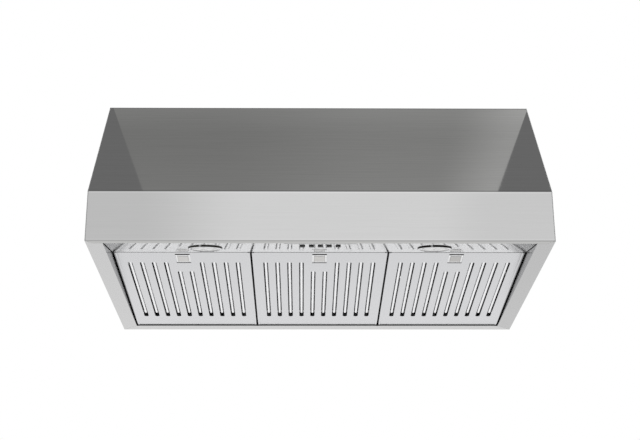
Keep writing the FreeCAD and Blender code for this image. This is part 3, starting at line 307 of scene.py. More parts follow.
def spangle_group():
    """Spangle: the crystal patches of a zinc coat, each with its own tone, and a slow cloud."""
    group, start, end = new_group("Spangle", {"Vector": (0, 0, 0), "Scale": 110.0}, ("Patch", "Cloud"))
    cells = add_node(group, "ShaderNodeTexVoronoi", Randomness=1.0)
    slow = add_node(group, "ShaderNodeTexNoise", Scale=9.0, Detail=3.0, Roughness=0.55)
    tone = group.nodes.new("ShaderNodeSeparateColor")
    group.links.new(start.outputs["Vector"], cells.inputs["Vector"])
    group.links.new(start.outputs["Scale"], cells.inputs["Scale"])
    group.links.new(start.outputs["Vector"], slow.inputs["Vector"])
    group.links.new(cells.outputs["Color"], tone.inputs[0])
    group.links.new(tone.outputs[0], end.inputs["Patch"])
    group.links.new(slow.outputs[0], end.inputs["Cloud"])
    return group


def zone_group():
    """Zone: distance along a direction, as a soft step past a place and a soft band about it."""
    inputs = {"Vector": (0, 0, 0), "Direction": (0, 0, 1), "Place": 0.0, "Width": 0.001}
    group, start, end = new_group("Zone", inputs, ("Past", "Near"))
    along = group.nodes.new("ShaderNodeVectorMath")
    along.operation = "DOT_PRODUCT"
    group.links.new(start.outputs["Vector"], along.inputs[0])
    group.links.new(start.outputs["Direction"], along.inputs[1])
    beyond = reckon(group, "SUBTRACT", along.outputs["Value"], start.outputs["Place"])
    steps = reckon(group, "DIVIDE", beyond, start.outputs["Width"])
    group.links.new(reckon(group, "ADD", steps, 0.5, clamp=True), end.inputs["Past"])
    off = reckon(group, "ABSOLUTE", steps)
    group.links.new(reckon(group, "SUBTRACT", 1.0, off, clamp=True), end.inputs["Near"])
    return group


def turning_group():
    """Turning: distance from the Z axis, and fine rings about it."""
    group, start, end = new_group("Turning", {"Vector": (0, 0, 0), "Pitch": 0.002}, ("Radius", "Rings"))
    flat = group.nodes.new("ShaderNodeVectorMath")
    flat.operation = "MULTIPLY"
    flat.inputs[1].default_value = (1, 1, 0)
    size = group.nodes.new("ShaderNodeVectorMath")
    size.operation = "LENGTH"
    group.links.new(start.outputs["Vector"], flat.inputs[0])
    group.links.new(flat.outputs[0], size.inputs[0])
    turns = reckon(group, "DIVIDE", size.outputs["Value"], start.outputs["Pitch"])
    wave = reckon(group, "SINE", reckon(group, "MULTIPLY", turns, 2 * math.pi))
    group.links.new(size.outputs["Value"], end.inputs["Radius"])
    group.links.new(reckon(group, "MULTIPLY_ADD", wave, 0.5, 0.5), end.inputs["Rings"])
    return group


GROUPS = {
    "Brushing": brushing_group,
    "Speckle": speckle_group,
    "Spangle": spangle_group,
    "Zone": zone_group,
    "Turning": turning_group,
}


def place_group(tree, name, vector=None, **values):
    """A shared group in a material, on Object coordinates or a given vector, with its own values."""
    made = tree.nodes.new("ShaderNodeGroup")
    made.node_tree = bpy.data.node_groups.get(name) or GROUPS[name]()
    if vector is None:
        vector = tree.nodes.new("ShaderNodeTexCoord").outputs["Object"]
    tree.links.new(vector, made.inputs["Vector"])
    for label, value in values.items():
        made.inputs[label].default_value = value
    return made.outputs


def centred_coords(tree, center, tilt):
    """Object coordinates measured from a centre and turned back by a tilt about X."""
    mapping = add_node(tree, "ShaderNodeMapping", Location=tuple(center), Rotation=(tilt, 0, 0))
    mapping.vector_type = "TEXTURE"
    coords = tree.nodes.new("ShaderNodeTexCoord")
    tree.links.new(coords.outputs["Object"], mapping.inputs["Vector"])
    return mapping.outputs[0]


def new_material(name, **values):
    """A material with its output and a principled shader that has plain values on its sockets."""
    material = bpy.data.materials.new(name)
    material.use_nodes = True
    tree = material.node_tree
    tree.nodes.clear()
    shader = add_node(tree, "ShaderNodeBsdfPrincipled", **values)
    end = tree.nodes.new("ShaderNodeOutputMaterial")
    tree.links.new(shader.outputs[0], end.inputs["Surface"])
    return material, tree, shader


def dress(tree, shader, tone, gloss):
    """Links a shader's tone and roughness."""
    tree.links.new(tone, shader.inputs["Base Color"])
    tree.links.new(gloss, shader.inputs["Roughness"])


def add_bump(tree, shader, height, strength, distance):
    """A bump from a height socket on the shader's normal."""
    bump = add_node(tree, "ShaderNodeBump", Strength=strength, Distance=distance)
    tree.links.new(height, bump.inputs["Height"])
    tree.links.new(bump.outputs[0], shader.inputs["Normal"])


class Grain(NamedTuple):
    """Brushing of a sheet: its noise's stretch, and the direction across it for its highlights."""

    stretch: tuple
    across: tuple


FRONT_GRAIN = Grain(stretch=(6, 520, 520), across=(0, 0.3, 1))
SIDE_GRAIN = Grain(stretch=(520, 6, 520), across=(0.3, 0, 1))
FILTER_GRAIN = Grain(stretch=(520, 7, 520), across=(0.3, 0, 1))
LATCH_GRAIN = Grain(stretch=(300, 60, 300), across=(0.3, 0, 1))


class Zone(NamedTuple):
    """A part of a brushed finish along a direction, with its tint and extra roughness."""

    side: str
    direction: tuple
    place: float
    width: float
    shade: tuple
    blur: float

    def mask(self, tree):
        values = {"Direction": self.direction, "Place": self.place, "Width": self.width}
        return place_group(tree, "Zone", **values)[self.side]


def past(direction, place, width, shade=grey(1.0), blur=0.0):
    """A zone beyond a place along a direction, with an edge as soft as its width."""
    return Zone("Past", tuple(direction), place, width, shade, blur)


def near(direction, place, width, shade=grey(1.0), blur=0.0):
    """A zone about a place along a direction, which fades out at its width on both sides."""
    return Zone("Near", tuple(direction), place, width, shade, blur)


def brushed_steel(name, color, roughness, grain, anisotropy, contrast, zones=(), calm=None):
    """Brushed metal: streaks of tone and gloss along the grain, highlights drawn out across it.

    Zones change its tone and gloss, and its streaks fade in the calm zone.
    """
    material, tree, shader = new_material(name, Metallic=1.0, Anisotropic=anisotropy)
    brushing = place_group(tree, "Brushing", Stretch=grain.stretch)
    streak = spread(tree, brushing["Streak"], 0, 1)
    if calm:
        kept = ramp(tree, calm.mask(tree), 0, 1, 1.0, CALM_STREAK)
        streak = reckon(tree, "MULTIPLY_ADD", reckon(tree, "SUBTRACT", streak, 0.5), kept, 0.5)
    tone = varied(tree, streak, color, contrast)
    cloud = spread(tree, brushing["Cloud"], BRUSHED_LEAST * roughness, BRUSHED_CLOUD * roughness)
    gloss = reckon(tree, "MULTIPLY_ADD", streak, BRUSHED_STREAK * roughness, cloud)
    for zone in zones:
        there = zone.mask(tree)
        tone = mix_colors(tree, there, tone, zone.shade, "MULTIPLY")
        gloss = reckon(tree, "MULTIPLY_ADD", there, zone.blur, gloss)
    dress(tree, shader, tone, gloss)
    tangent = add_node(tree, "ShaderNodeCombineXYZ", **dict(zip("XYZ", grain.across)))
    tree.links.new(tangent.outputs[0], shader.inputs["Tangent"])
    add_bump(tree, shader, brushing["Streak"], strength=0.02, distance=0.0001)
    return material


def handling_haze(tree):
    """A number from 0 to 1 that drifts over the surface, for handling marks."""
    return spread(tree, place_group(tree, "Speckle")["Cloud"], 0, 1)


def polished_steel(name, color, roughness, contrast=0.02, gloss_coat=0.0):
    """Polished metal with a faint haze of handling marks, under a share of clear gloss."""
    material, tree, shader = new_material(name, Metallic=1.0, Coat_Weight=gloss_coat, Coat_Roughness=0.03)
    haze = handling_haze(tree)
    tone = varied(tree, haze, color, contrast)
    gloss = reckon(tree, "MULTIPLY_ADD", haze, POLISHED_HAZE * roughness, POLISHED_LEAST * roughness)
    dress(tree, shader, tone, gloss)
    return material


def moulded_plastic(name, color, roughness, scale=600.0, bump=0.06):
    """Moulded plastic or paint: a fine grain in the surface and small changes of tone and gloss."""
    tone_change = 0.1
    gloss_change = 0.05
    material, tree, shader = new_material(name, Specular_IOR_Level=0.5)
    grain = place_group(tree, "Speckle", Scale=scale)
    haze = spread(tree, grain["Cloud"], 0, 1)
    tone = varied(tree, haze, color, tone_change)
    gloss = ramp(tree, haze, 0, 1, roughness - gloss_change, roughness + gloss_change)
    dress(tree, shader, tone, gloss)
    add_bump(tree, shader, grain["Grain"], strength=bump, distance=0.0003)
    return material


def zinc_sheet(name, color):
    """Zinc coated sheet with crystal patches of differing tone and gloss."""
    dark, bright = shaded(color, 0.86), shaded(color, 1.12)
    least_blur, cloud_blur, patch_blur = 0.28, 0.38, 0.12
    material, tree, shader = new_material(name, Metallic=1.0)
    spangle = place_group(tree, "Spangle")
    tone = mix_colors(tree, spangle["Patch"], dark, bright)
    cloud = spread(tree, spangle["Cloud"], least_blur, cloud_blur)
    dress(tree, shader, tone, reckon(tree, "MULTIPLY_ADD", spangle["Patch"], patch_blur, cloud))
    return material


def light_ring_chrome(side, color):
    """Chrome of a light ring, with painted shade on its outer wall apart from a painted highlight, and grey
    painted shade in its bore.
    """
    low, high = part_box(f"{side}_light_ring")
    lens_low, lens_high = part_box(f"{side}_light_lens")
    radius = (high.x - low.x) / 2
    bore = (lens_high.x - lens_low.x) / 2
    lower_face = reach_along(f"{side}_light_ring", STRIP_UP)[0]
    wall_start, wall_full = radius - 0.0012, radius - 0.0006
    bore_full, bore_end = bore + 0.0006, bore + 0.0010
    # painted shade in the bore
    bore_shade = shaded(color, 0.45)
    # painted shade on the outer wall, from deep to thin
    deep_painted_shade, thin_painted_shade = (0.005, 0.005, 0.004), (0.05, 0.05, 0.043)
    painted_shade_at_highlight = 0.15
    chrome_blur, painted_shade_blur = 0.08, 0.28
    material, tree, shader = new_material(f"{side}_ring_chrome", Metallic=1.0)
    place = centred_coords(tree, (low + high) / 2, STRIP_TILT)
    distance = place_group(tree, "Turning", place)["Radius"]
    outer = ramp(tree, distance, wall_start, wall_full, 0, 1)
    inner = ramp(tree, distance, bore_full, bore_end, 1, 0)
    upper = past(STRIP_UP, place=lower_face + 0.0008, width=0.0005).mask(tree)
    # painted highlight: a lighter gap in the wall's painted shade
    painted_highlight = place_group(tree, "Zone", place, Direction=RIGHTWARD, Place=-0.0085, Width=0.0026)["Near"]
    wall = reckon(tree, "MULTIPLY", outer, upper)
    wall = reckon(tree, "MULTIPLY", wall, ramp(tree, painted_highlight, 0, 1, 1.0, painted_shade_at_highlight))
    painted_shade = mix_colors(tree, handling_haze(tree), deep_painted_shade, thin_painted_shade)
    tone = mix_colors(tree, inner, color, bore_shade)
    gloss = ramp(tree, wall, 0, 1, chrome_blur, painted_shade_blur)
    dress(tree, shader, mix_colors(tree, wall, tone, painted_shade), gloss)
    return material


def light_lens_glass(side, color):
    """Pressed lens of a light: fine rings in the glass and a grey seat line near its edge."""
    low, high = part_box(f"{side}_light_lens")
    seat_share = 0.86
    seat = seat_share * (high.x - low.x) / 2
    seat_width = 0.0011
    seat_tone, groove_tone = shaded(color, 0.45), shaded(color, 0.93)
    groove_blur, crest_blur = 0.2, 0.3
    material, tree, shader = new_material(f"{side}_lens_pressed", Specular_IOR_Level=0.5, Coat_Weight=0.6)
    place = centred_coords(tree, (low + high) / 2, STRIP_TILT)
    turning = place_group(tree, "Turning", place, Pitch=0.0022)
    off_seat = reckon(tree, "ABSOLUTE", reckon(tree, "SUBTRACT", turning["Radius"], seat))
    line = ramp(tree, off_seat, 0, seat_width, 1, 0)
    tone = mix_colors(tree, turning["Rings"], groove_tone, color)
    tone = mix_colors(tree, line, tone, seat_tone)
    dress(tree, shader, tone, ramp(tree, turning["Rings"], 0, 1, groove_blur, crest_blur))
    add_bump(tree, shader, turning["Rings"], strength=0.15, distance=0.0004)
    return material


def coat(names, material):
    """Gives CAD pieces a material in place of their own."""
    for name in names:
        slots = frame["nodes"][name].data.materials
        slots.clear()
        slots.append(material)


def front_painted_zones(fold):
    """Painted lines of light and shade at the fold and the foot of the canopy's front, and painted shade on
    its lip, which is also rougher.
    """
    return [
        # painted highlight under the fold, painted shade over it
        near(UP, place=fold - 0.0024, width=0.0018, shade=grey(1.14)),
        near(UP, place=fold + 0.0020, width=0.0022, shade=grey(0.72)),
        # painted highlights along the bend at the band's foot
        near(UP, place=0.0016, width=0.0016, shade=grey(1.22)),
        near(UP, place=0.0036, width=0.0022, shade=grey(1.05)),
        # painted shade on the lip underneath, with more roughness
        past(DOWN, place=-0.0003, width=0.0003, shade=(0.705, 0.705, 0.69), blur=0.05),
    ]


def side_painted_zones(fold, painted_flange_shade):
    """Painted highlights on a side panel's front edges, along the slope and the band, with more roughness
    there, and painted shade on its flange.
    """
    slope_out = Vector((0, fold - SHELL_HIGH.z, TOP_FRONT - SHELL_LOW.y)).normalized()
    slope_face = slope_out.dot(Vector((0, SHELL_LOW.y, fold)))
    return [
        # painted highlights along the front edges
        past(slope_out, place=slope_face - 0.0008, width=0.0006, shade=grey(1.2), blur=0.5),
        past(AHEAD, place=-SHELL_LOW.y - 0.0008, width=0.0006, shade=grey(1.15), blur=0.4),
        # painted shade on the flange
        past(DOWN, place=-0.0006, width=0.0006, shade=grey(painted_flange_shade)),
    ]


class HOOD_OT_shell(bpy.types.Operator):
    """Brushed steel on the canopy, with the grain across the front and along the sides"""

    bl_idname = "hood.shell"
    bl_label = "Canopy"

    def execute(self, context):
        look = finish()
        color = tuple(look.shell_color)
        dull, shadowed = shaded(color, 0.93), shaded(color, 0.55)
        # painted shade on the side flanges, darker on the right
        painted_flange_shades = (0.93, 0.77)
        fold = look.band_height
        band = past(DOWN, place=-fold, width=0.001)
        flanges = past(DOWN, place=-0.0006, width=0.0006)
        # the front's zones paint light and shade at its fold, foot and lip
        front = brushed_steel(
            "canopy_front", color, look.shell_roughness, FRONT_GRAIN,
            anisotropy=1.0, contrast=0.05, zones=front_painted_zones(fold), calm=band,
        )
        plain = brushed_steel(
            "canopy_panels", dull, look.panel_roughness, FRONT_GRAIN,
            anisotropy=0.8, contrast=0.05, calm=flanges,
        )
        liner = brushed_steel(
            "filter_liners", shadowed, roughness=0.25, grain=SIDE_GRAIN, anisotropy=0.3, contrast=0.01
        )
        coat(["front_shell"], front)
        coat(["back_panel", "top_panel"], plain)
        for name, painted_flange_shade in zip(SIDES, painted_flange_shades):
            side = brushed_steel(
                f"canopy_{name}_side", dull, look.panel_roughness, SIDE_GRAIN,
                anisotropy=0.7, contrast=0.05, zones=side_painted_zones(fold, painted_flange_shade), calm=flanges,
            )
            coat([f"{name}_side_panel"], side)
            coat([f"{name}_side_liner"], liner)
        return {"FINISHED"}


class HOOD_OT_controls(bpy.types.Operator):
    """Polished strip and button plate, black buttons and switch"""

    bl_idname = "hood.controls"
    bl_label = "Control strip and buttons"

    def execute(self, context):
        look = finish()
        strip_color, button_color = tuple(look.strip_color), tuple(look.button_color)
        polish = polished_steel("strip_polished", strip_color, look.strip_roughness, gloss_coat=1.0)
        black = moulded_plastic("button_black", button_color, roughness=0.28, scale=900.0, bump=0.03)
        matt = moulded_plastic("switch_black", tuple(look.switch_color), roughness=0.55)
        coat(["control_strip", "control_bezel"], polish)
        coat([f"button_{number}" for number in BUTTONS], black)
        coat(["switch_body", "lamp_driver"], matt)
        return {"FINISHED"}


class HOOD_OT_lights(bpy.types.Operator):
    """Chrome rings, pressed lenses and aluminium lamp bodies"""

    bl_idname = "hood.lights"
    bl_label = "Lights"

    def execute(self, context):
        look = finish()
        cast = polished_steel("lamp_aluminium", tuple(look.lamp_color), roughness=0.35, contrast=0.06)
        for side in SIDES:
            coat([f"{side}_light_lens"], light_lens_glass(side, tuple(look.lens_color)))
            coat([f"{side}_light_ring"], light_ring_chrome(side, tuple(look.chrome_color)))
            coat([f"{side}_lamp_body"], cast)
        return {"FINISHED"}


def latch_steel(number, look, darkening):
    """Satin latch slide: a greyer finger pad with a painted highlight at its front and dark side lines, and
    painted shade on the bolt.
    """
    low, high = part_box(f"filter_{number}_latch")
    middle = (low.x + high.x) / 2
    color = tuple(look.latch_color)
    pad_tint = tuple(darkening * value / part for value, part in zip(look.pad_color, color))
    front_edge = FILTER_BACK.dot(FILTER_PIVOT) - FILTER_REACH
    lower_face = FILTER_UP.dot(FILTER_PIVOT)
    zones = [
        # painted highlight in front of the pad
        near(FILTER_BACK, place=front_edge + look.pad_front, width=0.004, shade=grey(1.2)),
        past(-FILTER_UP, place=-lower_face - 0.0007, width=0.0003, shade=pad_tint, blur=0.1),
        # painted shade on the bolt, at its tip and above the filter's face
        past(-FILTER_BACK, place=-front_edge - look.bolt_end, width=0.0004, shade=grey(0.03)),
        past(FILTER_UP, place=lower_face + 0.003, width=0.0004, shade=grey(0.25)),
    ]
    for pad_side in (-0.0107, 0.0107):
        zones.append(near(RIGHTWARD, place=middle + pad_side, width=0.0011, shade=(0.72, 0.72, 0.71)))
    return brushed_steel(
        f"latch_{number}_satin", color, roughness=0.3, grain=LATCH_GRAIN,
        anisotropy=0.0, contrast=0.02, zones=zones,
    )


class HOOD_OT_filters(bpy.types.Operator):
    """Satin filter faces, bright ridges, latches, guides and catches"""

    bl_idname = "hood.filters"
    bl_label = "Filters"

    def execute(self, context):
        look = finish()
        # painted shade on the filters' faces towards the front
        painted_front_shade = past(AHEAD, place=0.36, width=0.34, shade=grey(0.94))
        face = brushed_steel(
            "filter_satin", tuple(look.filter_color), look.filter_roughness, FILTER_GRAIN,
            anisotropy=0.3, contrast=0.015, zones=[painted_front_shade],
        )
        ridge = polished_steel("filter_ridge", tuple(look.ridge_color), look.ridge_roughness)
        spring = polished_steel("spring_steel", tuple(look.spring_color), roughness=0.3, contrast=0.06)
        # the third latch's pad darker than the others
        pad_darkening = (1.0, 0.97, 0.8)
        for number, darkening in zip(FILTERS, pad_darkening):
            coat([f"filter_{number}_face", f"filter_{number}_latch_guide"], face)
            coat([f"filter_{number}_latch"], latch_steel(number, look, darkening))
            coat([f"filter_{number}_baffles"], ridge)
            coat([f"filter_{number}_catch"], spring)
        return {"FINISHED"}


def add_piece(name, points, faces, material):
    """A piece with its place in its mesh, smooth apart from its corners."""
    mesh = bpy.data.meshes.new(name)
    mesh.from_pydata(points.reshape(-1, 3).tolist(), [], faces)
    mesh.shade_smooth()
    mesh.set_sharp_from_angle(angle=CORNER_ANGLE)
    mesh.materials.append(material)
    made = bpy.data.objects.new(name, mesh)
    bpy.context.scene.collection.objects.link(made)
    return made


def rolled_hem(name, start, end, width, height, material):
    """A hem on the filter's lower face: half an ellipse, width by height, carried from start to end.

    Point (u, v) is start plus u times the way to end, plus half the width times cos(v) across the
    filter, minus the height times sin(v) along the filter's up direction, for v from 0 to pi.
    """
    u = np.array([0.0, 1.0])[:, None, None]
    v = np.linspace(0, math.pi, HEM_POINTS)[None, :, None]
    bulge = np.cos(v) * np.array((width / 2, 0, 0)) - np.sin(v) * height * np.array(FILTER_UP)
    points = np.array(start) + u * np.array(end - start) + bulge
    low = np.arange(HEM_POINTS - 1)
    round_side = np.stack([low, low + 1, low + 1 + HEM_POINTS, low + HEM_POINTS], axis=1).tolist()
    flat_side = [[HEM_POINTS - 1, 0, HEM_POINTS, 2 * HEM_POINTS - 1]]
    ends = [list(range(HEM_POINTS))[::-1], list(range(HEM_POINTS, 2 * HEM_POINTS))]
    return add_piece(name, points, round_side + flat_side + ends, material)


class HOOD_OT_hems(bpy.types.Operator):
    """Rolled hems along both sides of each filter"""

    bl_idname = "hood.hems"
    bl_label = "Filter hems"

    def execute(self, context):
        look = finish()
        satin = bpy.data.materials["filter_satin"]
        for number in FILTERS:
            low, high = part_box(f"filter_{number}_face")
            edges = {"left": low.x + look.hem_width / 2, "right": high.x - look.hem_width / 2}
            for side, x in edges.items():
                pivot = Vector((x, FILTER_PIVOT.y, FILTER_PIVOT.z))
                start = pivot - (FILTER_REACH - HEM_FRONT) * FILTER_BACK
                end = pivot - HEM_REAR * FILTER_BACK
                name = f"filter_{number}_{side}_hem"
                hem = rolled_hem(name, start, end, look.hem_width, look.hem_height, satin)
                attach(hem, f"filter_{number}")
        return {"FINISHED"}


def coil_spring(name, start, end, radius, wire, turns, material):
    """A coil of round wire about the line from start to end, with its first and last turn closed.

    Point (u, v) is start plus the turn's share of the way to end, plus the coil's radius outward at
    angle 2 pi times turns times u, plus the wire's radius times cos(v) outward and sin(v) along the
    coil. The share rises by one wire in the first turn and in the last, and evenly in between.
    """
    steps = int(COIL_STEPS * turns)
    u = np.linspace(0, 1, steps + 1)[:, None, None]
    v = np.linspace(0, 2 * math.pi, WIRE_SIDES, endpoint=False)[None, :, None]
    way = np.array(end - start)
    size = np.linalg.norm(way)
    axis = way / size
    across = np.array((1.0, 0.0, 0.0))
    upright = np.cross(axis, across)
    closed = wire / (size - wire)
    risen = np.interp(u, (0, 1 / turns, 1 - 1 / turns, 1), (0, closed, 1 - closed, 1))
    turn = 2 * math.pi * turns * u
    outward = np.cos(turn) * across + np.sin(turn) * upright
    middle = np.array(start) + (wire / 2 + risen * (size - wire)) * axis + radius * outward
    points = middle + wire / 2 * (np.cos(v) * outward + np.sin(v) * axis)
    ring = np.arange(steps)[:, None] * WIRE_SIDES
    side = np.arange(WIRE_SIDES)[None, :]
    after = (side + 1) % WIRE_SIDES
    next_ring = ring + WIRE_SIDES
    faces = np.stack([ring + side, next_ring + side, next_ring + after, ring + after], axis=-1)
    last = steps * WIRE_SIDES
    ends = [list(range(WIRE_SIDES)), list(range(last, last + WIRE_SIDES))[::-1]]
    return add_piece(name, points, faces.reshape(-1, 4).tolist() + ends, material)


class HOOD_OT_springs(bpy.types.Operator):
    """Coil springs behind the filter latches, in place of the CAD springs, riding with the filters"""

    bl_idname = "hood.springs"
    bl_label = "Latch springs"

    def execute(self, context):
        look = finish()
        steel = bpy.data.materials["spring_steel"]
        for number in FILTERS:
            node = f"filter_{number}_latch_spring"
            low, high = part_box(node)
            front, rear = reach_along(node, FILTER_BACK)
            under, over = reach_along(node, FILTER_UP)
            middle = Vector(((low.x + high.x) / 2, 0, 0)) + (under + over) / 2 * FILTER_UP
            start, end = middle + front * FILTER_BACK, middle + rear * FILTER_BACK
            radius = (over - under - look.spring_wire) / 2
            name = f"filter_{number}_latch_coil"
            coil = coil_spring(name, start, end, radius, look.spring_wire, look.spring_turns, steel)
            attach(coil, f"filter_{number}")
            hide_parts(node)
            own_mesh(coil)
        return {"FINISHED"}


class HOOD_OT_duct(bpy.types.Operator):
    """Zinc coated duct collar, damper flaps, blower and junction box, with the motor and the screws"""

    bl_idname = "hood.duct"
    bl_label = "Duct, blower and electrics"

    def execute(self, context):
        look = finish()
        zinc = zinc_sheet("zinc_spangle", tuple(look.zinc_color))
        plain = polished_steel("screw_steel", tuple(look.screw_color), roughness=0.3, contrast=0.06)
        paint = moulded_plastic("motor_paint", tuple(look.motor_color), roughness=0.4)
        pale = moulded_plastic("pale_plastic", tuple(look.pale_color), roughness=0.45)
        rubber = moulded_plastic("bush_rubber", tuple(look.rubber_color), roughness=0.7)
        coat(["duct_collar", "front_damper_flap", "rear_damper_flap", "blower_housing"], zinc)
        coat(["blower_wheel", "motor_bracket", "junction_box", "junction_box_cover"], zinc)
        coat(["top_screws", "collar_screws", "cover_screws", "damper_rod", "motor_shaft"], plain)
        coat(["motor"], paint)
        coat(["terminal_block", "capacitor"], pale)
        coat(["cable_bush"], rubber)
        return {"FINISHED"}


def stage_sheet(name, corner, along, up):
    """A stage sheet: corner plus u times one edge plus v times the other, for u and v of 0 and 1."""
    u, v = np.array([[0, 0], [1, 0], [1, 1], [0, 1]], float).T
    points = np.array(corner) + u[:, None] * np.array(along) + v[:, None] * np.array(up)
    mesh = bpy.data.meshes.new(name)
    mesh.from_pydata(points.tolist(), [], [(0, 1, 2, 3)])
    made = bpy.data.objects.new(name, mesh)
    bpy.context.scene.collection.objects.link(made)
    material = bpy.data.materials.new(name)
    material.use_nodes = True
    material.node_tree.nodes.clear()
    mesh.materials.append(material)
    return made, material.node_tree


def split_xyz(tree, coords):
    """The X, Y and Z outputs of a texture coordinate."""
    made = tree.nodes.new("ShaderNodeSeparateXYZ")
    tree.links.new(tree.nodes.new("ShaderNodeTexCoord").outputs[coords], made.inputs[0])
    return made.outputs


def mix_shaders(tree, factor, first, second):
    """Two shaders mixed by a factor socket."""
    mix = tree.nodes.new("ShaderNodeMixShader")
    tree.links.new(factor, mix.inputs[0])
    tree.links.new(first.outputs[0], mix.inputs[1])
    tree.links.new(second.outputs[0], mix.inputs[2])
    return mix


def put_out(tree, shader, kind="ShaderNodeOutputMaterial"):
    """The tree's output, fed by a shader."""
    tree.links.new(shader.outputs[0], tree.nodes.new(kind).inputs["Surface"])


def studio_floor(look):
    """A pale floor that keeps the hood's shadow, fades to white far off and is clear from below.

    Metal shows it white behind the hood and grey in front.
    """
    half = 20.0
    grey_until, white_from = -1.5, 2.0
    fade_start, fade_end = 1.5, 6.0
    corner = (-half, -half, look.floor_height)
    tree = stage_sheet("studio_floor", corner, (2 * half, 0, 0), (0, 2 * half, 0))[1]
    pale = add_node(tree, "ShaderNodeBsdfDiffuse", Color=(*grey(look.floor_shade), 1))
    glow = add_node(tree, "ShaderNodeEmission", Color=(1, 1, 1, 1))
    backward = split_xyz(tree, "Object")["Y"]
    level = ramp(tree, backward, grey_until, white_from, look.floor_front, 1.0, smooth=True)
    tree.links.new(level, glow.inputs["Strength"])
    white = add_node(tree, "ShaderNodeEmission", Color=(1, 1, 1, 1), Strength=1.0)
    away = place_group(tree, "Turning")["Radius"]
    far_off = ramp(tree, away, fade_start, fade_end, 0, 1, smooth=True)
    rays = tree.nodes.new("ShaderNodeLightPath").outputs
    faded = mix_shaders(tree, reckon(tree, "MULTIPLY", far_off, rays["Is Camera Ray"]), pale, white)
    mirrored = reckon(tree, "MAXIMUM", rays["Is Glossy Ray"], rays["Is Transmission Ray"])
    clear = tree.nodes.new("ShaderNodeBsdfTransparent")
    below = tree.nodes.new("ShaderNodeNewGeometry").outputs["Backfacing"]
    put_out(tree, mix_shaders(tree, below, mix_shaders(tree, mirrored, faded, glow), clear))


def studio_card(look):
    """A grey card above the canopy's top edge, as wide as the canopy, that only metal sees.

    It brightens to the right, towards its foot and a little towards its top.
    """
    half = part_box("right_side_panel")[1].x
    left, right = 0.007 - half, half + 0.0025
    foot = SHELL_HIGH.z + 0.004
    height = 0.8
    lean = height * Vector((0.012, -0.272, 0.963))
    corner = (left, TOP_FRONT - 0.006, foot)
    left_until, middle_from = -0.25, 0.15
    middle_until, right_from = 0.29, 0.47
    right_gain = look.card_right - look.card_middle
    foot_gain, foot_end = 1.15, foot + 0.12
    top_gain, top_start, top_full = 0.08, foot + 0.2, foot + 0.48
    card, tree = stage_sheet("studio_card", corner, (right - left, 0, 0), tuple(lean))
    axes = split_xyz(tree, "Object")
    across = ramp(tree, axes["X"], left_until, middle_from, look.card_left, look.card_middle, smooth=True)
    right_end = ramp(tree, axes["X"], middle_until, right_from, 0, right_gain, smooth=True)
    low_edge = ramp(tree, axes["Z"], foot, foot_end, foot_gain, 1.0)
    high_edge = ramp(tree, axes["Z"], top_start, top_full, 0, top_gain)
    upward = reckon(tree, "ADD", low_edge, high_edge)
    glow = add_node(tree, "ShaderNodeEmission", Color=(1, 1, 0.98, 1))
    level = reckon(tree, "MULTIPLY", reckon(tree, "ADD", across, right_end), upward)
    tree.links.new(level, glow.inputs["Strength"])
    put_out(tree, glow)
    card.visible_camera = False
    card.visible_diffuse = False
    card.visible_shadow = False
    card.visible_transmission = False


def studio_world(look):
    """A white studio, which metal shows greyer to the left and right and darker overhead."""
    world = bpy.data.worlds.new("studio")
    bpy.context.scene.world = world
    world.use_nodes = True
    tree = world.node_tree
    tree.nodes.clear()
    above_start, above_full = 0.5, 0.9
    right_start, right_full = 0.095, 0.145
    left_start, left_full = -0.04, -0.13
    axes = split_xyz(tree, "Generated")
    above = ramp(tree, axes["Z"], above_start, above_full, 0, 1, smooth=True)
    right = ramp(tree, axes["X"], right_start, right_full, 1.0, look.right_wall, smooth=True)
    left = ramp(tree, axes["X"], left_start, left_full, 1.0, look.left_wall, smooth=True)
    sides = reckon(tree, "MULTIPLY", right, left)
    white = add_node(tree, "ShaderNodeBackground", Color=(1, 1, 1, 1), Strength=1.0)
    mirrored = add_node(tree, "ShaderNodeBackground", Color=(1, 1, 1, 1))
    drop = reckon(tree, "SUBTRACT", look.overhead, sides)
    tree.links.new(reckon(tree, "MULTIPLY_ADD", above, drop, sides), mirrored.inputs["Strength"])
    rays = tree.nodes.new("ShaderNodeLightPath").outputs
    put_out(tree, mix_shaders(tree, rays["Is Glossy Ray"], white, mirrored), "ShaderNodeOutputWorld")


def studio_lamp(look):
    """A soft square lamp in front, high on the left, that metal doesn't mirror."""
    place = Vector((-1.8, -2.6, 2.2))
    target = Vector((0, -0.3, 0.2))
    data = bpy.data.lights.new("key_lamp", "AREA")
    data.size = look.lamp_size
    data.energy = look.lamp_power
    lamp = bpy.data.objects.new("key_lamp", data)
    bpy.context.scene.collection.objects.link(lamp)
    lamp.location = place
    lamp.rotation_euler = (target - place).to_track_quat("-Z", "Y").to_euler()
    lamp.visible_glossy = False


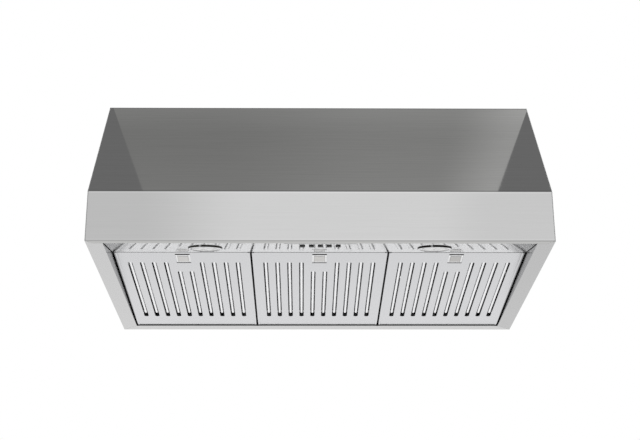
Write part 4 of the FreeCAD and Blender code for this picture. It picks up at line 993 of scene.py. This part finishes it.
def studio_camera(look):
    """The camera at the photograph's place, turned by its yaw, pitch and roll."""
    pitch, yaw, roll = look.camera_pitch, look.camera_yaw, look.camera_roll
    ahead = Vector((math.sin(yaw) * math.cos(pitch), math.cos(yaw) * math.cos(pitch), math.sin(pitch)))
    level = Vector((math.cos(yaw), -math.sin(yaw), 0))
    upright = level.cross(ahead)
    right = math.cos(roll) * level + math.sin(roll) * upright
    up = math.cos(roll) * upright - math.sin(roll) * level
    data = bpy.data.cameras.new("photo_camera")
    data.sensor_width = 36.0
    data.lens = look.camera_lens
    camera = bpy.data.objects.new("photo_camera", data)
    bpy.context.scene.collection.objects.link(camera)
    turn = Matrix((right, up, -ahead)).transposed().to_4x4()
    camera.matrix_world = Matrix.Translation((look.camera_x, look.camera_y, look.camera_z)) @ turn
    bpy.context.scene.camera = camera


class HOOD_OT_stage(bpy.types.Operator):
    """Floor, studio light and the camera"""

    bl_idname = "hood.stage"
    bl_label = "Studio and camera"

    def execute(self, context):
        look = context.scene.hood_stage
        context.scene.view_settings.view_transform = "Standard"
        studio_floor(look)
        studio_card(look)
        studio_world(look)
        studio_lamp(look)
        studio_camera(look)
        return {"FINISHED"}


OPERATORS = (
    HOOD_OT_shell,
    HOOD_OT_controls,
    HOOD_OT_lights,
    HOOD_OT_filters,
    HOOD_OT_hems,
    HOOD_OT_springs,
    HOOD_OT_duct,
    HOOD_OT_stage,
)


class HOOD_PT_looks(bpy.types.Panel):
    """The hood's finishes, piece by piece"""

    bl_idname = "HOOD_PT_looks"
    bl_label = "Range hood"
    bl_space_type = "VIEW_3D"
    bl_region_type = "UI"
    bl_category = "Hood"

    def draw(self, context):
        for operator in OPERATORS:
            self.layout.operator(operator.bl_idname)
        for settings in (context.scene.hood_finish, context.scene.hood_stage):
            for name in type(settings).__annotations__:
                self.layout.prop(settings, name)


CLASSES = (HoodFinish, HoodStage, *OPERATORS, HOOD_PT_looks)


def register():
    for made in CLASSES:
        bpy.utils.register_class(made)
    bpy.types.Scene.hood_finish = PointerProperty(type=HoodFinish)
    bpy.types.Scene.hood_stage = PointerProperty(type=HoodStage)


def unregister():
    del bpy.types.Scene.hood_stage
    del bpy.types.Scene.hood_finish
    for made in reversed(CLASSES):
        bpy.utils.unregister_class(made)


def main():
    register()
    bpy.ops.hood.shell()
    bpy.ops.hood.controls()
    bpy.ops.hood.lights()
    bpy.ops.hood.filters()
    bpy.ops.hood.hems()
    bpy.ops.hood.springs()
    bpy.ops.hood.duct()
    bpy.ops.hood.stage()


if __name__ == "__main__":
    main()
